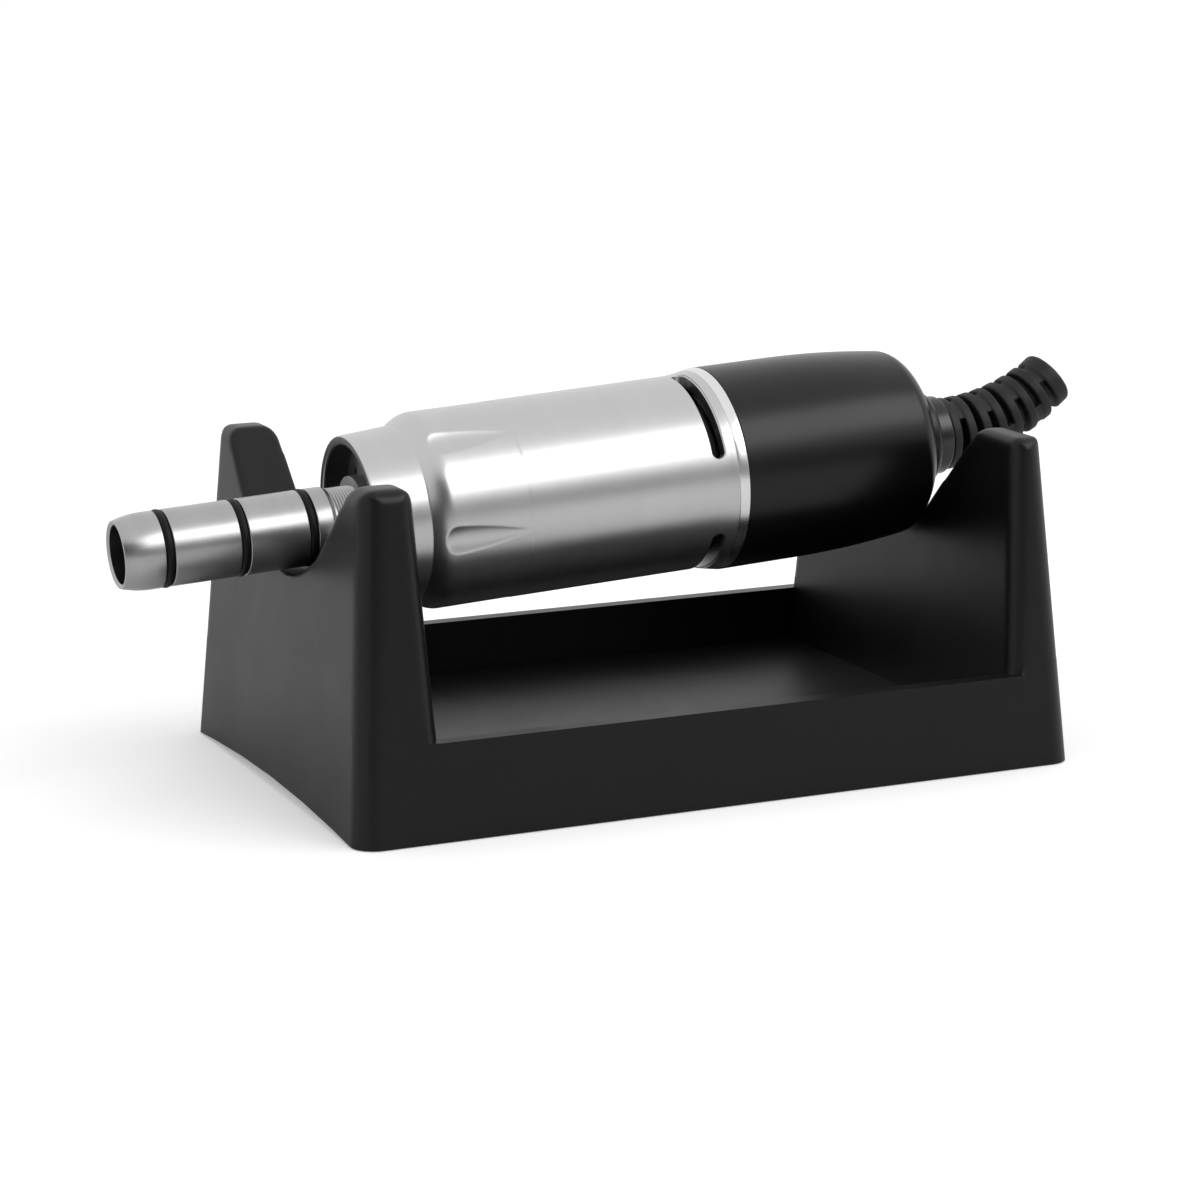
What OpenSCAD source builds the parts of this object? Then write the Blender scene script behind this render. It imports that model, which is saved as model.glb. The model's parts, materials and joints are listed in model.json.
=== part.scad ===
// Brushed dental micromotor with its desk stand, in millimetres.
// The stand's length is X with the nose towards -X, Y runs away from the viewer, and +Z is up.
// The origin lies on the desk under the middle of the whole.

/* [Motor in the stand] */
// Rise of the motor's axis towards the cable end, in degrees
axis_tilt = 3.35; // [3:0.05:4]
// Turn of the flutes and vents about the axis, in degrees above the viewer's side
clock_angle = 52.5; // [0:0.5:60]

/* [Nose] */
// Diameter of the nose that a handpiece slides over
nose_d = 8.9; // [8.7:0.05:9]
// Length of the nose from its tip to the mouth of the sleeve
nose_len = 28; // [27:0.1:29]
// Bore of the nose behind its mouth
nose_bore_d = 6.2; // [6.1:0.05:6.3]
// Bore of the nose at its mouth
mouth_d = 6.8; // [6.7:0.05:6.9]
// Depth of the wider bore at the mouth
mouth_depth = 2.5; // [1:0.1:3]
// Length over which the tip narrows
tip_ease_len = 3.4; // [2:0.1:3.6]
// Loss of radius at the tip
tip_ease = 0.56; // [0.3:0.02:0.6]
// Distances from the tip to the middle of each O-ring
ring_offsets = [5.2, 14.1, 22.3];
// Cord thickness of an O-ring
ring_cord_d = 0.9; // [0.8:0.05:0.95]
// Height of an O-ring above the nose
ring_proud = 0.08; // [0.04:0.01:0.12]
// Width of an O-ring groove
groove_w = 1.05; // [1:0.05:1.2]
// Distance from the tip to the threaded root
root_offset = 25.25; // [24.5:0.05:26]
// Diameter of the threaded root
root_d = 8.3; // [8.1:0.05:8.4]

/* [Grip sleeve] */
// Wall of the neck at its mouth
neck_wall = 1.05; // [0.9:0.05:1.2]
// Growth of the neck's radius from its mouth to the shoulder
neck_draft = 0.43; // [0:0.01:0.6]
// Length of the neck
neck_len = 6.3; // [6:0.1:7]
// Length of the shoulder between neck and grip
shoulder_len = 2.8; // [2.4:0.1:3.2]
// Wall of the grip behind the shoulder
grip_wall = 1.25; // [1:0.05:1.3]
// Wall of the grip at its rear end
grip_rear_wall = 1.4; // [1.35:0.05:1.5]
// Length of the grip
grip_len = 35.7; // [35.2:0.1:36]
// Step in radius between the neck's recess and the grip's bore
recess_step = 1.5; // [1.4:0.05:1.6]
// Depth of the recess inside the neck
recess_depth = 3; // [2:0.1:3.5]
// Diameter inside the grip
sleeve_bore_d = 20.8; // [20.7:0.05:20.9]
// Number of thumb flutes round the shoulder
flute_count = 6; // [4:1:6]
// Length of a flute
flute_len = 9.6; // [8:0.1:12]
// Width of a flute at its blunt end
flute_w = 3.3; // [2.5:0.1:3.6]
// Depth of a flute at its blunt end
flute_depth = 0.62; // [0.3:0.02:0.7]
// Number of vents round the rear of the grip
vent_count = 3; // [2:1:3]
// Sweep of a vent, in degrees
vent_sweep = 74.5; // [50:0.5:80]
// Width of a vent
vent_w = 1.4; // [1:0.1:1.6]
// Distance from the middle of a vent to the rear end of the grip
vent_setback = 2.1; // [2:0.1:2.4]

/* [Rear ring and hood] */
// Width of the bright ring that shows
ring_show = 1.26; // [1:0.02:1.6]
// Height of the ring's rear edge above the rear of the grip
ring_rise = 0.6; // [0.5:0.05:0.7]
// Step in radius from the ring down to the hood
hood_inset = 0.025; // [0:0.005:0.05]
// Length of the hood
hood_len = 28.3; // [28.1:0.1:28.4]
// Part of the hood that stays at full diameter
hood_straight = 10; // [6:0.5:12]
// Loss of radius along the tapering part of the hood
hood_taper = 0.9; // [0.6:0.05:1]
// Length of the rounding at the rear of the hood
hood_round_len = 3.95; // [3.8:0.05:4.1]
// Wall of the hood
hood_wall = 1.1; // [0.9:0.05:1.15]

/* [Cable outlet] */
// Diameter of the boss behind the hood
boss_d = 12.4; // [11:0.1:13]
// Diameter of the gland's head
gland_d = 9.8; // [9.4:0.1:10]
// Length of the gland's head
gland_head = 2.2; // [1.8:0.1:2.6]
// Bore for the cable
cable_bore_d = 4.2; // [3.8:0.1:4.4]
// Diameter of the boot at its root
boot_root_d = 9.1; // [8.6:0.1:9.2]
// Diameter of the boot at its end
boot_end_d = 7.1; // [6.8:0.1:7.4]
// Length of the boot along its curve
boot_len = 17.9; // [17:0.1:18.2]
// Upward bend of the boot, in degrees
boot_bend = 37; // [30:0.5:39]
// Number of slots along the boot
boot_slots = 7; // [5:1:8]

/* [Stand] */
// Room between the neck and the upper edge of the front post
neck_room = 1.49; // [1.4:0.01:1.6]
// Reach of the hood past the upper edge of the rear post
hood_reach = 0.22; // [0.1:0.01:0.25]
// Width of the stand at the desk
stand_w = 59.9; // [59:0.1:61]
// Height of the horns above the desk
stand_h = 39.05; // [38.6:0.05:39.6]
// Lean of the end walls, in degrees
end_draft = 4; // [3.6:0.1:4.4]
// Lean of the long walls, in degrees
side_draft = 5.75; // [5:0.05:6.5]
// Lean of the posts' inner faces, in degrees
inner_draft = 3.2; // [3:0.1:3.4]
// Height of the tray's rim
rim_h = 11.05; // [10.6:0.05:11.5]
// Thickness of the front post at the rim
front_post_t = 9.6; // [9.3:0.05:9.8]
// Thickness of the rear post at the rim
rear_post_t = 7.55; // [7.4:0.05:7.6]
// Height of the tray's floor
floor_h = 4.2; // [4:0.1:5]
// Wall of the moulding
stand_wall = 2; // [1.6:0.1:2.2]
// Height of the front notch's floor
front_notch_h = 25.55; // [25.3:0.05:25.6]
// Rounding of the front notch's floor
front_notch_round = 19.5; // [19:0.1:20]
// Rise of the rear notch's floor over the underside of the hood
rear_notch_rise = 1.625; // [1.5:0.005:1.63]
// Rounding of the rear notch's floor
rear_notch_round = 6; // [6:0.1:7]
// Rounding of the notches' upper edges
notch_edge_round = 0.8; // [0.5:0.1:1.2]
// Rounding of the horns
horn_round = 1.9; // [1.5:0.1:2.2]
// Rounding of the outer corners
corner_round = 3; // [2.4:0.1:3.4]
// Rounding of the posts' inner corners
post_round = 2.6; // [1.6:0.1:2.8]
// Rise of the arched lower edge of the end walls
arch_rise = 1.2; // [0.5:0.1:1.5]

/* [Motor inside] */
// Wall of the magnet can
can_wall = 1.1; // [0.9:0.05:1.2]
// Thickness of a field magnet
magnet_t = 1.9; // [1.7:0.05:1.95]
// Sweep of a field magnet, in degrees
magnet_sweep = 132; // [120:1:140]
// Air gap between armature and magnets
air_gap = 0.4; // [0.35:0.01:0.5]
// Length of the armature core
core_len = 21; // [19:0.5:21.5]
// Number of armature slots
core_slots = 7; // [5:1:7]
// Diameter of the shaft
shaft_d = 3; // [2.9:0.05:3]
// Outer diameter of a ball bearing
bearing_d = 8; // [7.95:0.05:8]
// Width of a ball bearing
bearing_w = 4; // [3.8:0.1:4]
// Diameter of a bearing ball
ball_d = 1.59; // [1.5:0.01:1.62]
// Number of balls in a bearing
ball_count = 7; // [6:1:7]
// Diameter of the commutator
commutator_d = 6.2; // [6:0.1:6.4]
// Number of fan blades
fan_blades = 11; // [7:1:13]
// Travel of the spring-loaded drive dog
dog_travel = 1.5; // [1:0.1:1.6]
// Wire of the dog's spring
spring_wire_d = 0.4; // [0.35:0.01:0.45]
// Curls of the dog's spring
spring_curls = 5; // [4:1:5]

/* [Hidden] */

$fn = 96;

// Overrun of every cut past the face that it opens
cut = 0.5;
// Gap of a press or screw seat
seat_gap = 0.02;
// Radial gap of a running fit
run_gap = 0.05;
// Gap between parts that never touch
free_gap = 0.3;

// Part of the shoulder's length in front of the step inside it
step_share = 0.6;

// Length of the stand, from the motor that lies between its posts
body_len = neck_len + shoulder_len + grip_len + ring_show + hood_len;
post_lean = (stand_h - rim_h) * tan(inner_draft);
rim_lean = rim_h * tan(end_draft);
posts_t = front_post_t + rear_post_t;
stand_len = posts_t + body_len + neck_room - hood_reach + 2 * (rim_lean - post_lean);
front_in_x = stand_len / 2 - rim_lean - front_post_t;
rear_in_x = stand_len / 2 - rim_lean - rear_post_t;

// Distance from the middle of the stand to the middle of the whole
whole_shift = 1.056;

// Stations along the motor's axis, from the middle of the stand
mouth_s = neck_room - front_in_x - post_lean;
tip_s = mouth_s - nose_len;
root_s = tip_s + root_offset;
shoulder_s = mouth_s + neck_len;
grip_s = shoulder_s + shoulder_len;
seam_s = grip_s + grip_len;
hood_s = seam_s + ring_show;
back_s = hood_s + hood_len;
flange_s = mouth_s + recess_depth;
step_s = shoulder_s + step_share * shoulder_len;
vent_s = seam_s - vent_setback;

// Nose
nose_r = nose_d / 2;
root_r = root_d / 2;
ring_track_r = nose_r + ring_proud - ring_cord_d / 2;
groove_floor_r = ring_track_r - ring_cord_d / 2 - seat_gap;
root_engage = 6.4;
root_end_s = root_s + root_engage;

// Height of the motor's axis over the middle of the stand, where the nose lies in the front notch
front_out_x = stand_len / 2 - front_notch_h * tan(end_draft);
axis_height = front_notch_h + free_gap + nose_r / cos(axis_tilt) + front_out_x * tan(axis_tilt);

// Front flange
flange_hub_r = 5.2;
flange_hub_rise = 2.5;
bearing_boss_wall = 1.6;
flange_hole_d = 1.1;
flange_hole_depth = 2.4;
flange_hole_share = 0.46;
flange_hole_count = 4;
flange_hole_turn = 136;
front_bearing_s = root_end_s + seat_gap;

// Sleeve
sleeve_bore_r = sleeve_bore_d / 2;
recess_r = sleeve_bore_r - recess_step;
neck_r = recess_r + neck_wall;
neck_end_r = neck_r + neck_draft;
grip_r = sleeve_bore_r + grip_wall;
grip_rear_r = sleeve_bore_r + grip_rear_wall;
flange_hole_track_r = flange_hub_r + flange_hole_share * (recess_r - flange_hub_r);
mouth_chamfer = 0.3;
flare_len = 1.8;
ring_r = grip_rear_r + ring_rise;
ring_chamfer = 0.12;
seam_r = grip_rear_r + (ring_r - grip_rear_r) * flare_len / (flare_len + ring_show);
flute_ball_r = (flute_w * flute_w / 4 + flute_depth * flute_depth) / (2 * flute_depth);
flute_lift = flute_ball_r - flute_depth;
flute_share = 0.16;
flute_s = grip_s - flute_share * shoulder_len;

// Rear ring and hood
spigot_len = 0.8;
hood_spigot_len = 5;
spigot_wall = 0.8;
hood_r = ring_r - hood_inset;
hood_inner_r = hood_r - hood_wall;
hood_end_wall = 3.2;
hood_flat = 0.355;
hood_inner_share = 0.3;
hood_corner_share = 0.5;
hood_taper_r = hood_r - hood_taper;

// Cable outlet
boss_r = boss_d / 2;
boss_len = 1.8;
boss_edge_share = 0.5;
gland_r = gland_d / 2;
gland_stem_r = 3.1;
dome_r = gland_stem_r + seat_gap + hood_flat;
hood_round_rise = hood_taper_r - dome_r;
gland_thread = 1;
gland_edge = 0.5;
cable_bore_r = cable_bore_d / 2;
locknut_t = 2;
locknut_across = 8.4;
locknut_room = 0.25;
locknut_r = locknut_across / (2 * cos(30));
boss_end_s = back_s + boss_len;
gland_end_s = boss_end_s + gland_head;
boot_levels = boot_slots + 1;
boot_pitch = boot_len / boot_levels;
boot_ring_share = 0.56;
boot_ring_len = boot_ring_share * boot_pitch;
boot_gap = boot_pitch - boot_ring_len;
boot_end_len = boot_pitch;
boot_curve_r = boot_len / (boot_bend * PI / 180);
boot_lift = boot_root_d / 2 * sin(boot_bend * boot_ring_share / (2 * boot_levels)) + seat_gap;
boot_lap = 0.1;
boot_edge = 0.2;
boot_liner = 0.55;
boot_web_share = 0.3;
boot_web_turns = [55, 145];
boot_bore_ease = 0.05;

// Can, magnets and armature
can_r = sleeve_bore_r - seat_gap;
can_inner_r = can_r - can_wall;
can_front_s = step_s + seat_gap;
magnet_r = can_inner_r - seat_gap;
magnet_inner_r = magnet_r - magnet_t;
core_r = magnet_inner_r - air_gap;
coil_room = 1.56;
wire_gap = 0.1;
coil_inset = 0.9;
fan_space = 0.8;
brush_space = 1.5;
bearing_space = 1.2;
coil_r = (core_r - coil_inset - shaft_d / 2 - coil_room) / 2;
coil_track_r = core_r - coil_r - coil_inset;
commutator_lead = 0.76;
commutator_s = hood_s - commutator_lead;
fan_depth = 5.2;
fan_s = commutator_s - brush_space - fan_depth;
coil_end_s = fan_s - fan_space;
core_end_s = coil_end_s - 2 * coil_r - wire_gap;
core_s = core_end_s - core_len;
fan_gap = 0.5;
fan_blade_inset = 0.1;
fan_end_s = fan_s + fan_depth;
fan_r = sleeve_bore_r - spigot_wall - fan_gap;
fan_plate = 0.9;
can_setback = 0.7;
magnet_overhang = 1;
slot_lip = 0.7;
fan_blade_t = 0.7;
fan_hub_r = 2.7;
fan_blade_in_r = 4.1;
can_end_s = fan_s - can_setback;
slot_hole_r = 1.15;
slot_mouth = 0.9;
slot_track_r = core_r - slot_hole_r - slot_lip;

// Commutator, brushes and their holder
commutator_r = commutator_d / 2;
commutator_len = 6;
segment_gap = 0.3;
segment_depth = 0.5;
brush_s = commutator_s + commutator_len / 2;
brush_w = 2.4;
brush_h = 3;
brush_gap = 0.03;
brush_spring_room = 2.705;
holder_setback = 0.6;
holder_s = hood_s + holder_setback;
holder_r = hood_inner_r - spigot_wall - 2 * seat_gap;
holder_wall = 1.2;
holder_lead = 0.8;
holder_clear = 0.6;
holder_clear_r = commutator_r + holder_clear;
brush_tube_wall = 0.5;
rear_bearing_s = commutator_s + commutator_len + bearing_space;
holder_cover = 1;
holder_end_s = rear_bearing_s + bearing_w + holder_cover;
brush_cap_t = 0.8;
cap_face_r = holder_r - brush_cap_t;
brush_foot_r = cap_face_r - brush_spring_room;
brush_len = brush_foot_r - commutator_r - brush_gap;
brush_spring_track_r = 0.85;
brush_spring_wire_d = 0.3;
brush_spring_curls = 3;
brush_spring_rise = cap_face_r - brush_foot_r - brush_spring_wire_d - 2 * seat_gap;
tab_w = 2.8;
tab_t = 0.5;
tab_len = 5;
tab_track_r = 7;

// Shaft, bearings and drive dog
shaft_r = shaft_d / 2;
bearing_r = bearing_d / 2;
race_wall = 0.72;
outer_race_r = bearing_r - race_wall;
inner_race_r = shaft_r + race_wall;
inner_seat_r = shaft_r + seat_gap;
ball_r = ball_d / 2;
ball_gap = 0.03;
pitch_r = (bearing_r + shaft_r) / 2;
cage_inset = 0.7;
cage_w = bearing_w - 2 * cage_inset;
cage_half_t = 0.23;
shaft_overhang = 0.5;
shaft_end_s = rear_bearing_s + bearing_w + shaft_overhang;
dog_gap = 0.35;
dog_r = nose_bore_d / 2 - dog_gap;
dog_len = 9;
dog_setback = 5.8;
dog_s = tip_s + dog_setback;
dog_end_s = dog_s + dog_len;
dog_slot_w = 1.7;
dog_slot_depth = 2.4;
dog_nose_wall = 3.6;
dog_edge = 0.43;
dog_edge_len = 1.3;
shaft_front_s = dog_s + dog_nose_wall + dog_travel;
pin_r = 0.4;
pin_setback = 2;
pin_s = dog_end_s - pin_setback - pin_r;
dog_pin_slot = 2 * (pin_r + run_gap) + dog_travel;
spring_gap = 0.25;
spring_track_r = shaft_r + spring_gap + spring_wire_d / 2;
spring_len = 5.4;
spring_end_gap = 0.03;
dog_spring_rise = spring_len - 2 * spring_end_gap - spring_wire_d;
spring_seat_s = dog_end_s + spring_len;
collar_len = 1.2;
collar_inset = 0.25;
collar_r = dog_r - collar_inset;

// Stand
rear_notch_h = axis_height + (rear_in_x + post_lean) * tan(axis_tilt) - hood_r + rear_notch_rise;
rear_round_share = 0.73;
rear_horn_round = rear_round_share * horn_round;
horn_steps = 10;
notch_flank = 45;
post_round_bite = 0.1;
under_h = floor_h - stand_wall;
post_cavity_h = front_notch_h - 2 * stand_wall;

// Carries its children from a local Z axis onto the motor's axis
module on_axis() {
    translate([whole_shift, 0, axis_height])
        rotate([0, 90 - axis_tilt, 0])
            children();
}

// Turns its children about the axis so that local X points at a clock angle above the viewer's side
module clocked(angle) {
    rotate([0, 0, -90 - angle])
        children();
}

// Ring or tube from station s over a length
module tube(s, len, r_out, r_in) {
    translate([0, 0, s])
        difference() {
            cylinder(h = len, r = r_out);
            translate([0, 0, -cut])
                cylinder(h = len + 2 * cut, r = r_in);
        }
}

// Points of a quarter ellipse from the full radius at the start down to the end face
function ellipse_quarter(s, r, len, rise, steps) =
    [for (i = [0:steps]) [r - rise + rise * cos(90 * i / steps), s + len * sin(90 * i / steps)]];

// Points of an S-shaped shoulder between two radii
function s_curve(s0, s1, r0, r1, steps) =
    [for (i = [0:steps]) [r0 + (r1 - r0) * (1 - cos(180 * i / steps)) / 2, s0 + (s1 - s0) * i / steps]];

// Point on a helix that rises along Z
function helix_point(track_r, rise, curls, t) =
    [track_r * cos(360 * curls * t), track_r * sin(360 * curls * t), rise * t];

// Unbroken tube swept along a helix, with closed ends
module coil(track_r, rise, curls, wire_r) {
    rings = 8 * curls;
    sides = 6;
    pitch_angle = atan2(rise, 2 * PI * track_r * curls);
    points = [
        for (i = [0:rings])
            for (j = [0:sides - 1])
                let (
                    turn = 360 * curls * i / rings,
                    centre = helix_point(track_r, rise, curls, i / rings),
                    a = 360 * j / sides,
                    out = [cos(turn), sin(turn), 0],
                    up = [sin(turn) * sin(pitch_angle), -cos(turn) * sin(pitch_angle), cos(pitch_angle)]
                )
                centre + wire_r * (cos(a) * out + sin(a) * up)
    ];
    walls = [
        for (i = [0:rings - 1])
            for (j = [0:sides - 1])
                for (half = [0, 1])
                    let (
                        k = (j + 1) % sides,
                        a = i * sides + j,
                        b = i * sides + k,
                        c = (i + 1) * sides + k,
                        d = (i + 1) * sides + j
                    )
                    half == 0 ? [a, b, c] : [a, c, d]
    ];
    start_cap = [for (j = [1:sides - 2]) [0, j + 1, j]];
    end_cap = [for (j = [1:sides - 2]) [rings * sides, rings * sides + j, rings * sides + j + 1]];
    polyhedron(points = points, faces = concat(walls, start_cap, end_cap));
}

// Least distance between one curl and the next, measured over the helix's own points
function curl_gap(track_r, rise, curls, wire_r) =
    min([
        for (j = [0:24])
            norm(helix_point(track_r, rise, curls, (0.5 + j / 24) / curls) - [track_r, 0, 0])
    ]) - 2 * wire_r;

// Nose that a handpiece slides over: bored, grooved for three O-rings, screwed into the flange
module nose_tube() {
    grooves = [
        for (offset = ring_offsets)
            for (p = [[0, 0], [1, 0], [1, 1], [0, 1]])
                [p[0] == 0 ? nose_r : groove_floor_r, tip_s + offset + (p[1] - 0.5) * groove_w]
    ];
    groove_points = [
        for (i = [0:len(ring_offsets) - 1])
            for (k = [0, 1, 2, 3])
                grooves[4 * i + k]
    ];
    tip_points = [
        for (i = [0:8])
            [nose_r - tip_ease * pow(1 - i / 8, 2), tip_s + tip_ease_len * i / 8]
    ];
    outline = concat(
        [[mouth_d / 2, tip_s + mouth_depth], [mouth_d / 2, tip_s]],
        tip_points,
        groove_points,
        [[nose_r, root_s], [root_r, root_s], [root_r, root_end_s]],
        [[nose_bore_d / 2, root_end_s], [nose_bore_d / 2, tip_s + mouth_depth]]
    );
    color("lightsteelblue")
        on_axis()
            rotate_extrude()
                polygon(outline);
}

// One of the nose's O-rings
module o_ring(offset) {
    color("black")
        on_axis()
            translate([0, 0, tip_s + offset])
                rotate_extrude()
                    translate([ring_track_r, 0])
                        circle(d = ring_cord_d, $fn = 32);
}

// Flange that closes the neck, holds the nose's root and houses the front bearing
module front_flange() {
    boss_end = can_front_s + can_wall;
    color("silver")
        on_axis()
            difference() {
                union() {
                    translate([0, 0, flange_s])
                        cylinder(h = step_s - flange_s, r = recess_r - seat_gap);
                    translate([0, 0, flange_s - flange_hub_rise])
                        cylinder(h = flange_hub_rise + cut, r = flange_hub_r);
                    translate([0, 0, step_s - cut])
                        cylinder(h = boss_end - step_s + cut, r = bearing_r + bearing_boss_wall);
                }
                translate([0, 0, flange_s - flange_hub_rise - cut])
                    cylinder(h = root_end_s - flange_s + flange_hub_rise + cut, r = root_r + seat_gap);
                translate([0, 0, front_bearing_s - seat_gap])
                    cylinder(h = bearing_w + 2 * seat_gap, r = bearing_r + seat_gap);
                translate([0, 0, front_bearing_s])
                    cylinder(h = boss_end - front_bearing_s + cut, r = bearing_r - race_wall);
                for (i = [0:flange_hole_count - 1])
                    clocked(flange_hole_turn + 360 * i / flange_hole_count)
                        translate([flange_hole_track_r, 0, flange_s - cut])
                            cylinder(h = flange_hole_depth + cut, d = flange_hole_d, $fn = 32);
            }
}

// Teardrop cutter: a cone whose point lies on the grip, ended by a ball at the blunt end
module flute_cutter() {
    lean = atan2(flute_lift, flute_len);
    reach = norm([flute_lift, flute_len]);
    translate([grip_r, 0, flute_s + flute_len])
        rotate([0, 180 - lean, 0])
            union() {
                cylinder(h = reach, r1 = 0, r2 = flute_ball_r, $fn = 64);
                translate([0, 0, reach])
                    sphere(r = flute_ball_r, $fn = 64);
            }
}

// Curved vent with round ends, cut through the grip
module vent_cutter() {
    end_angle = vent_sweep / 2 - asin(vent_w / 2 / grip_rear_r);
    translate([0, 0, vent_s - vent_w / 2])
        rotate([0, 0, -end_angle])
            rotate_extrude(angle = 2 * end_angle)
                translate([sleeve_bore_r - cut, 0])
                    square([ring_r - sleeve_bore_r + 2 * cut, vent_w]);
    for (side = [-1, 1])
        rotate([0, 0, side * end_angle])
            translate([sleeve_bore_r - cut, 0, vent_s])
                rotate([0, 90, 0])
                    cylinder(h = ring_r - sleeve_bore_r + 2 * cut, d = vent_w, $fn = 32);
}

// Grip: necked mouth, S-shaped shoulder, barrel, thumb flutes, vents and a flared rear edge
module grip_sleeve() {
    outline = concat(
        [[recess_r, mouth_s + mouth_chamfer], [recess_r + mouth_chamfer, mouth_s]],
        [[neck_r - mouth_chamfer, mouth_s], [neck_r, mouth_s + mouth_chamfer]],
        s_curve(shoulder_s, grip_s, neck_end_r, grip_r, 12),
        [[grip_rear_r, seam_s - flare_len], [seam_r, seam_s]],
        [[sleeve_bore_r, seam_s], [sleeve_bore_r, step_s]],
        [[recess_r, step_s]]
    );
    color("gainsboro")
        on_axis()
            difference() {
                rotate_extrude()
                    polygon(outline);
                for (i = [0:flute_count - 1])
                    clocked(clock_angle + 360 * i / flute_count)
                        flute_cutter();
                for (i = [0:vent_count - 1])
                    clocked(clock_angle + 360 * i / vent_count)
                        vent_cutter();
            }
}

// Bright ring between grip and hood, with a spigot into each
module rear_ring() {
    front_spigot_r = sleeve_bore_r - seat_gap;
    rear_spigot_r = hood_inner_r - seat_gap;
    outline = [
        [front_spigot_r - spigot_wall, seam_s - spigot_len],
        [front_spigot_r, seam_s - spigot_len],
        [front_spigot_r, seam_s],
        [seam_r - ring_chamfer, seam_s],
        [seam_r, seam_s + ring_chamfer],
        [ring_r, hood_s - ring_chamfer],
        [ring_r - ring_chamfer, hood_s],
        [rear_spigot_r, hood_s],
        [rear_spigot_r, hood_s + hood_spigot_len],
        [rear_spigot_r - spigot_wall, hood_s + hood_spigot_len],
        [rear_spigot_r - spigot_wall, hood_s],
        [front_spigot_r - spigot_wall, hood_s]
    ];
    color("whitesmoke")
        on_axis()
            rotate_extrude()
                polygon(outline);
}

// Rear hood: moulded barrel that tapers and rounds off to the cable outlet
module rear_hood() {
    taper_s = hood_s + hood_straight;
    round_s = back_s - hood_round_len;
    taper_len = round_s - taper_s;
    barrel = [
        for (i = [1:10])
            [hood_r - hood_taper * pow(i / 10, 2), taper_s + taper_len * i / 10]
    ];
    outline = concat(
        [[hood_inner_r, hood_s], [hood_r - ring_chamfer, hood_s], [hood_r, hood_s + ring_chamfer]],
        [[hood_r, taper_s]],
        barrel,
        ellipse_quarter(round_s, hood_taper_r, hood_round_len, hood_round_rise, 12),
        [[gland_stem_r + seat_gap, back_s], [gland_stem_r + seat_gap, back_s - hood_end_wall]],
        [[locknut_r + locknut_room, back_s - hood_end_wall]],
        [[hood_taper_r - hood_wall, round_s - hood_corner_share * hood_round_len]],
        [[hood_inner_r, taper_s + hood_inner_share * taper_len]]
    );
    color("dimgray")
        on_axis()
            rotate_extrude()
                polygon(outline);
}

// Rounded boss that fits the dome of the hood and carries the gland's head
module gland_boss() {
    dome_s = back_s - hood_round_len + seat_gap;
    rim_angle = acos((boss_r - dome_r) / hood_round_rise);
    edge = boss_edge_share * boss_len;
    outline = concat(
        [[gland_stem_r + seat_gap, back_s + seat_gap]],
        [
            for (i = [6:-1:0])
                let (a = rim_angle + (90 - rim_angle) * i / 6)
                [dome_r + hood_round_rise * cos(a), dome_s + hood_round_len * sin(a)]
        ],
        [for (i = [0:6]) [boss_r - edge + edge * cos(15 * i), boss_end_s - edge + edge * sin(15 * i)]],
        [[gland_stem_r + seat_gap, boss_end_s]]
    );
    color("black")
        on_axis()
            rotate_extrude()
                polygon(outline);
}

// Gland: bored head and a stem that passes through the hood
module gland_nut() {
    stem_s = back_s - hood_end_wall - locknut_t - gland_thread;
    color("dimgray")
        on_axis()
            difference() {
                union() {
                    translate([0, 0, stem_s])
                        cylinder(h = boss_end_s - stem_s + cut, r = gland_stem_r);
                    translate([0, 0, boss_end_s])
                        cylinder(h = gland_edge, r1 = gland_r - gland_edge, r2 = gland_r);
                    translate([0, 0, boss_end_s + gland_edge])
                        cylinder(h = gland_head - 2 * gland_edge, r = gland_r);
                    translate([0, 0, gland_end_s - gland_edge])
                        cylinder(h = gland_edge, r1 = gland_r, r2 = gland_r - gland_edge);
                }
                translate([0, 0, stem_s - cut])
                    cylinder(h = gland_end_s - stem_s + 2 * cut, r = cable_bore_r);
            }
}

// Hexagonal locknut that draws the gland against the hood from inside
module gland_locknut() {
    color("goldenrod")
        on_axis()
            translate([0, 0, back_s - hood_end_wall - locknut_t - seat_gap])
                difference() {
                    cylinder(h = locknut_t, r = locknut_r, $fn = 6);
                    translate([0, 0, -cut])
                        cylinder(h = locknut_t + 2 * cut, r = gland_stem_r + seat_gap);
                }
}

// Radius of the boot at a share of its length
function boot_r(share) = (boot_root_d + (boot_end_d - boot_root_d) * share) / 2;

// Moves its children to a share of the boot's curve, with local Z along the curve
module boot_at(share) {
    translate([-boot_curve_r, 0, 0])
        rotate([0, -boot_bend * share, 0])
            translate([boot_curve_r, 0, 0])
                children();
}

// Curved rod along the boot's centre, run on past both ends by an angle
module boot_core(r, overrun) {
    translate([-boot_curve_r, 0, 0])
        rotate([90, 0, 0])
            rotate([0, 0, -overrun])
                rotate_extrude(angle = boot_bend + 2 * overrun, $fn = 128)
                    translate([boot_curve_r, 0])
                        circle(r = r, $fn = 48);
}

// One ring of the boot with softened edges
module boot_ring(share, len_ring, edge_end) {
    r = boot_r(share);
    outline = concat(
        [[0, -len_ring / 2], [r - boot_edge, -len_ring / 2], [r, boot_edge - len_ring / 2]],
        [[r, len_ring / 2 - edge_end], [r - edge_end, len_ring / 2], [0, len_ring / 2]]
    );
    boot_at(share)
        rotate_extrude($fn = 64)
            polygon(outline);
}

// The pair of webs that joins two rings across a slot
module boot_webs(share, turn) {
    web_len = boot_gap + 2 * boot_lap;
    boot_at(share)
        intersection() {
            translate([0, 0, -web_len / 2])
                cylinder(h = web_len, r = boot_r(share) - boot_edge, $fn = 64);
            clocked(turn)
                cube([2 * boot_root_d, boot_web_share * boot_root_d, 2 * web_len], center = true);
        }
}

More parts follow.
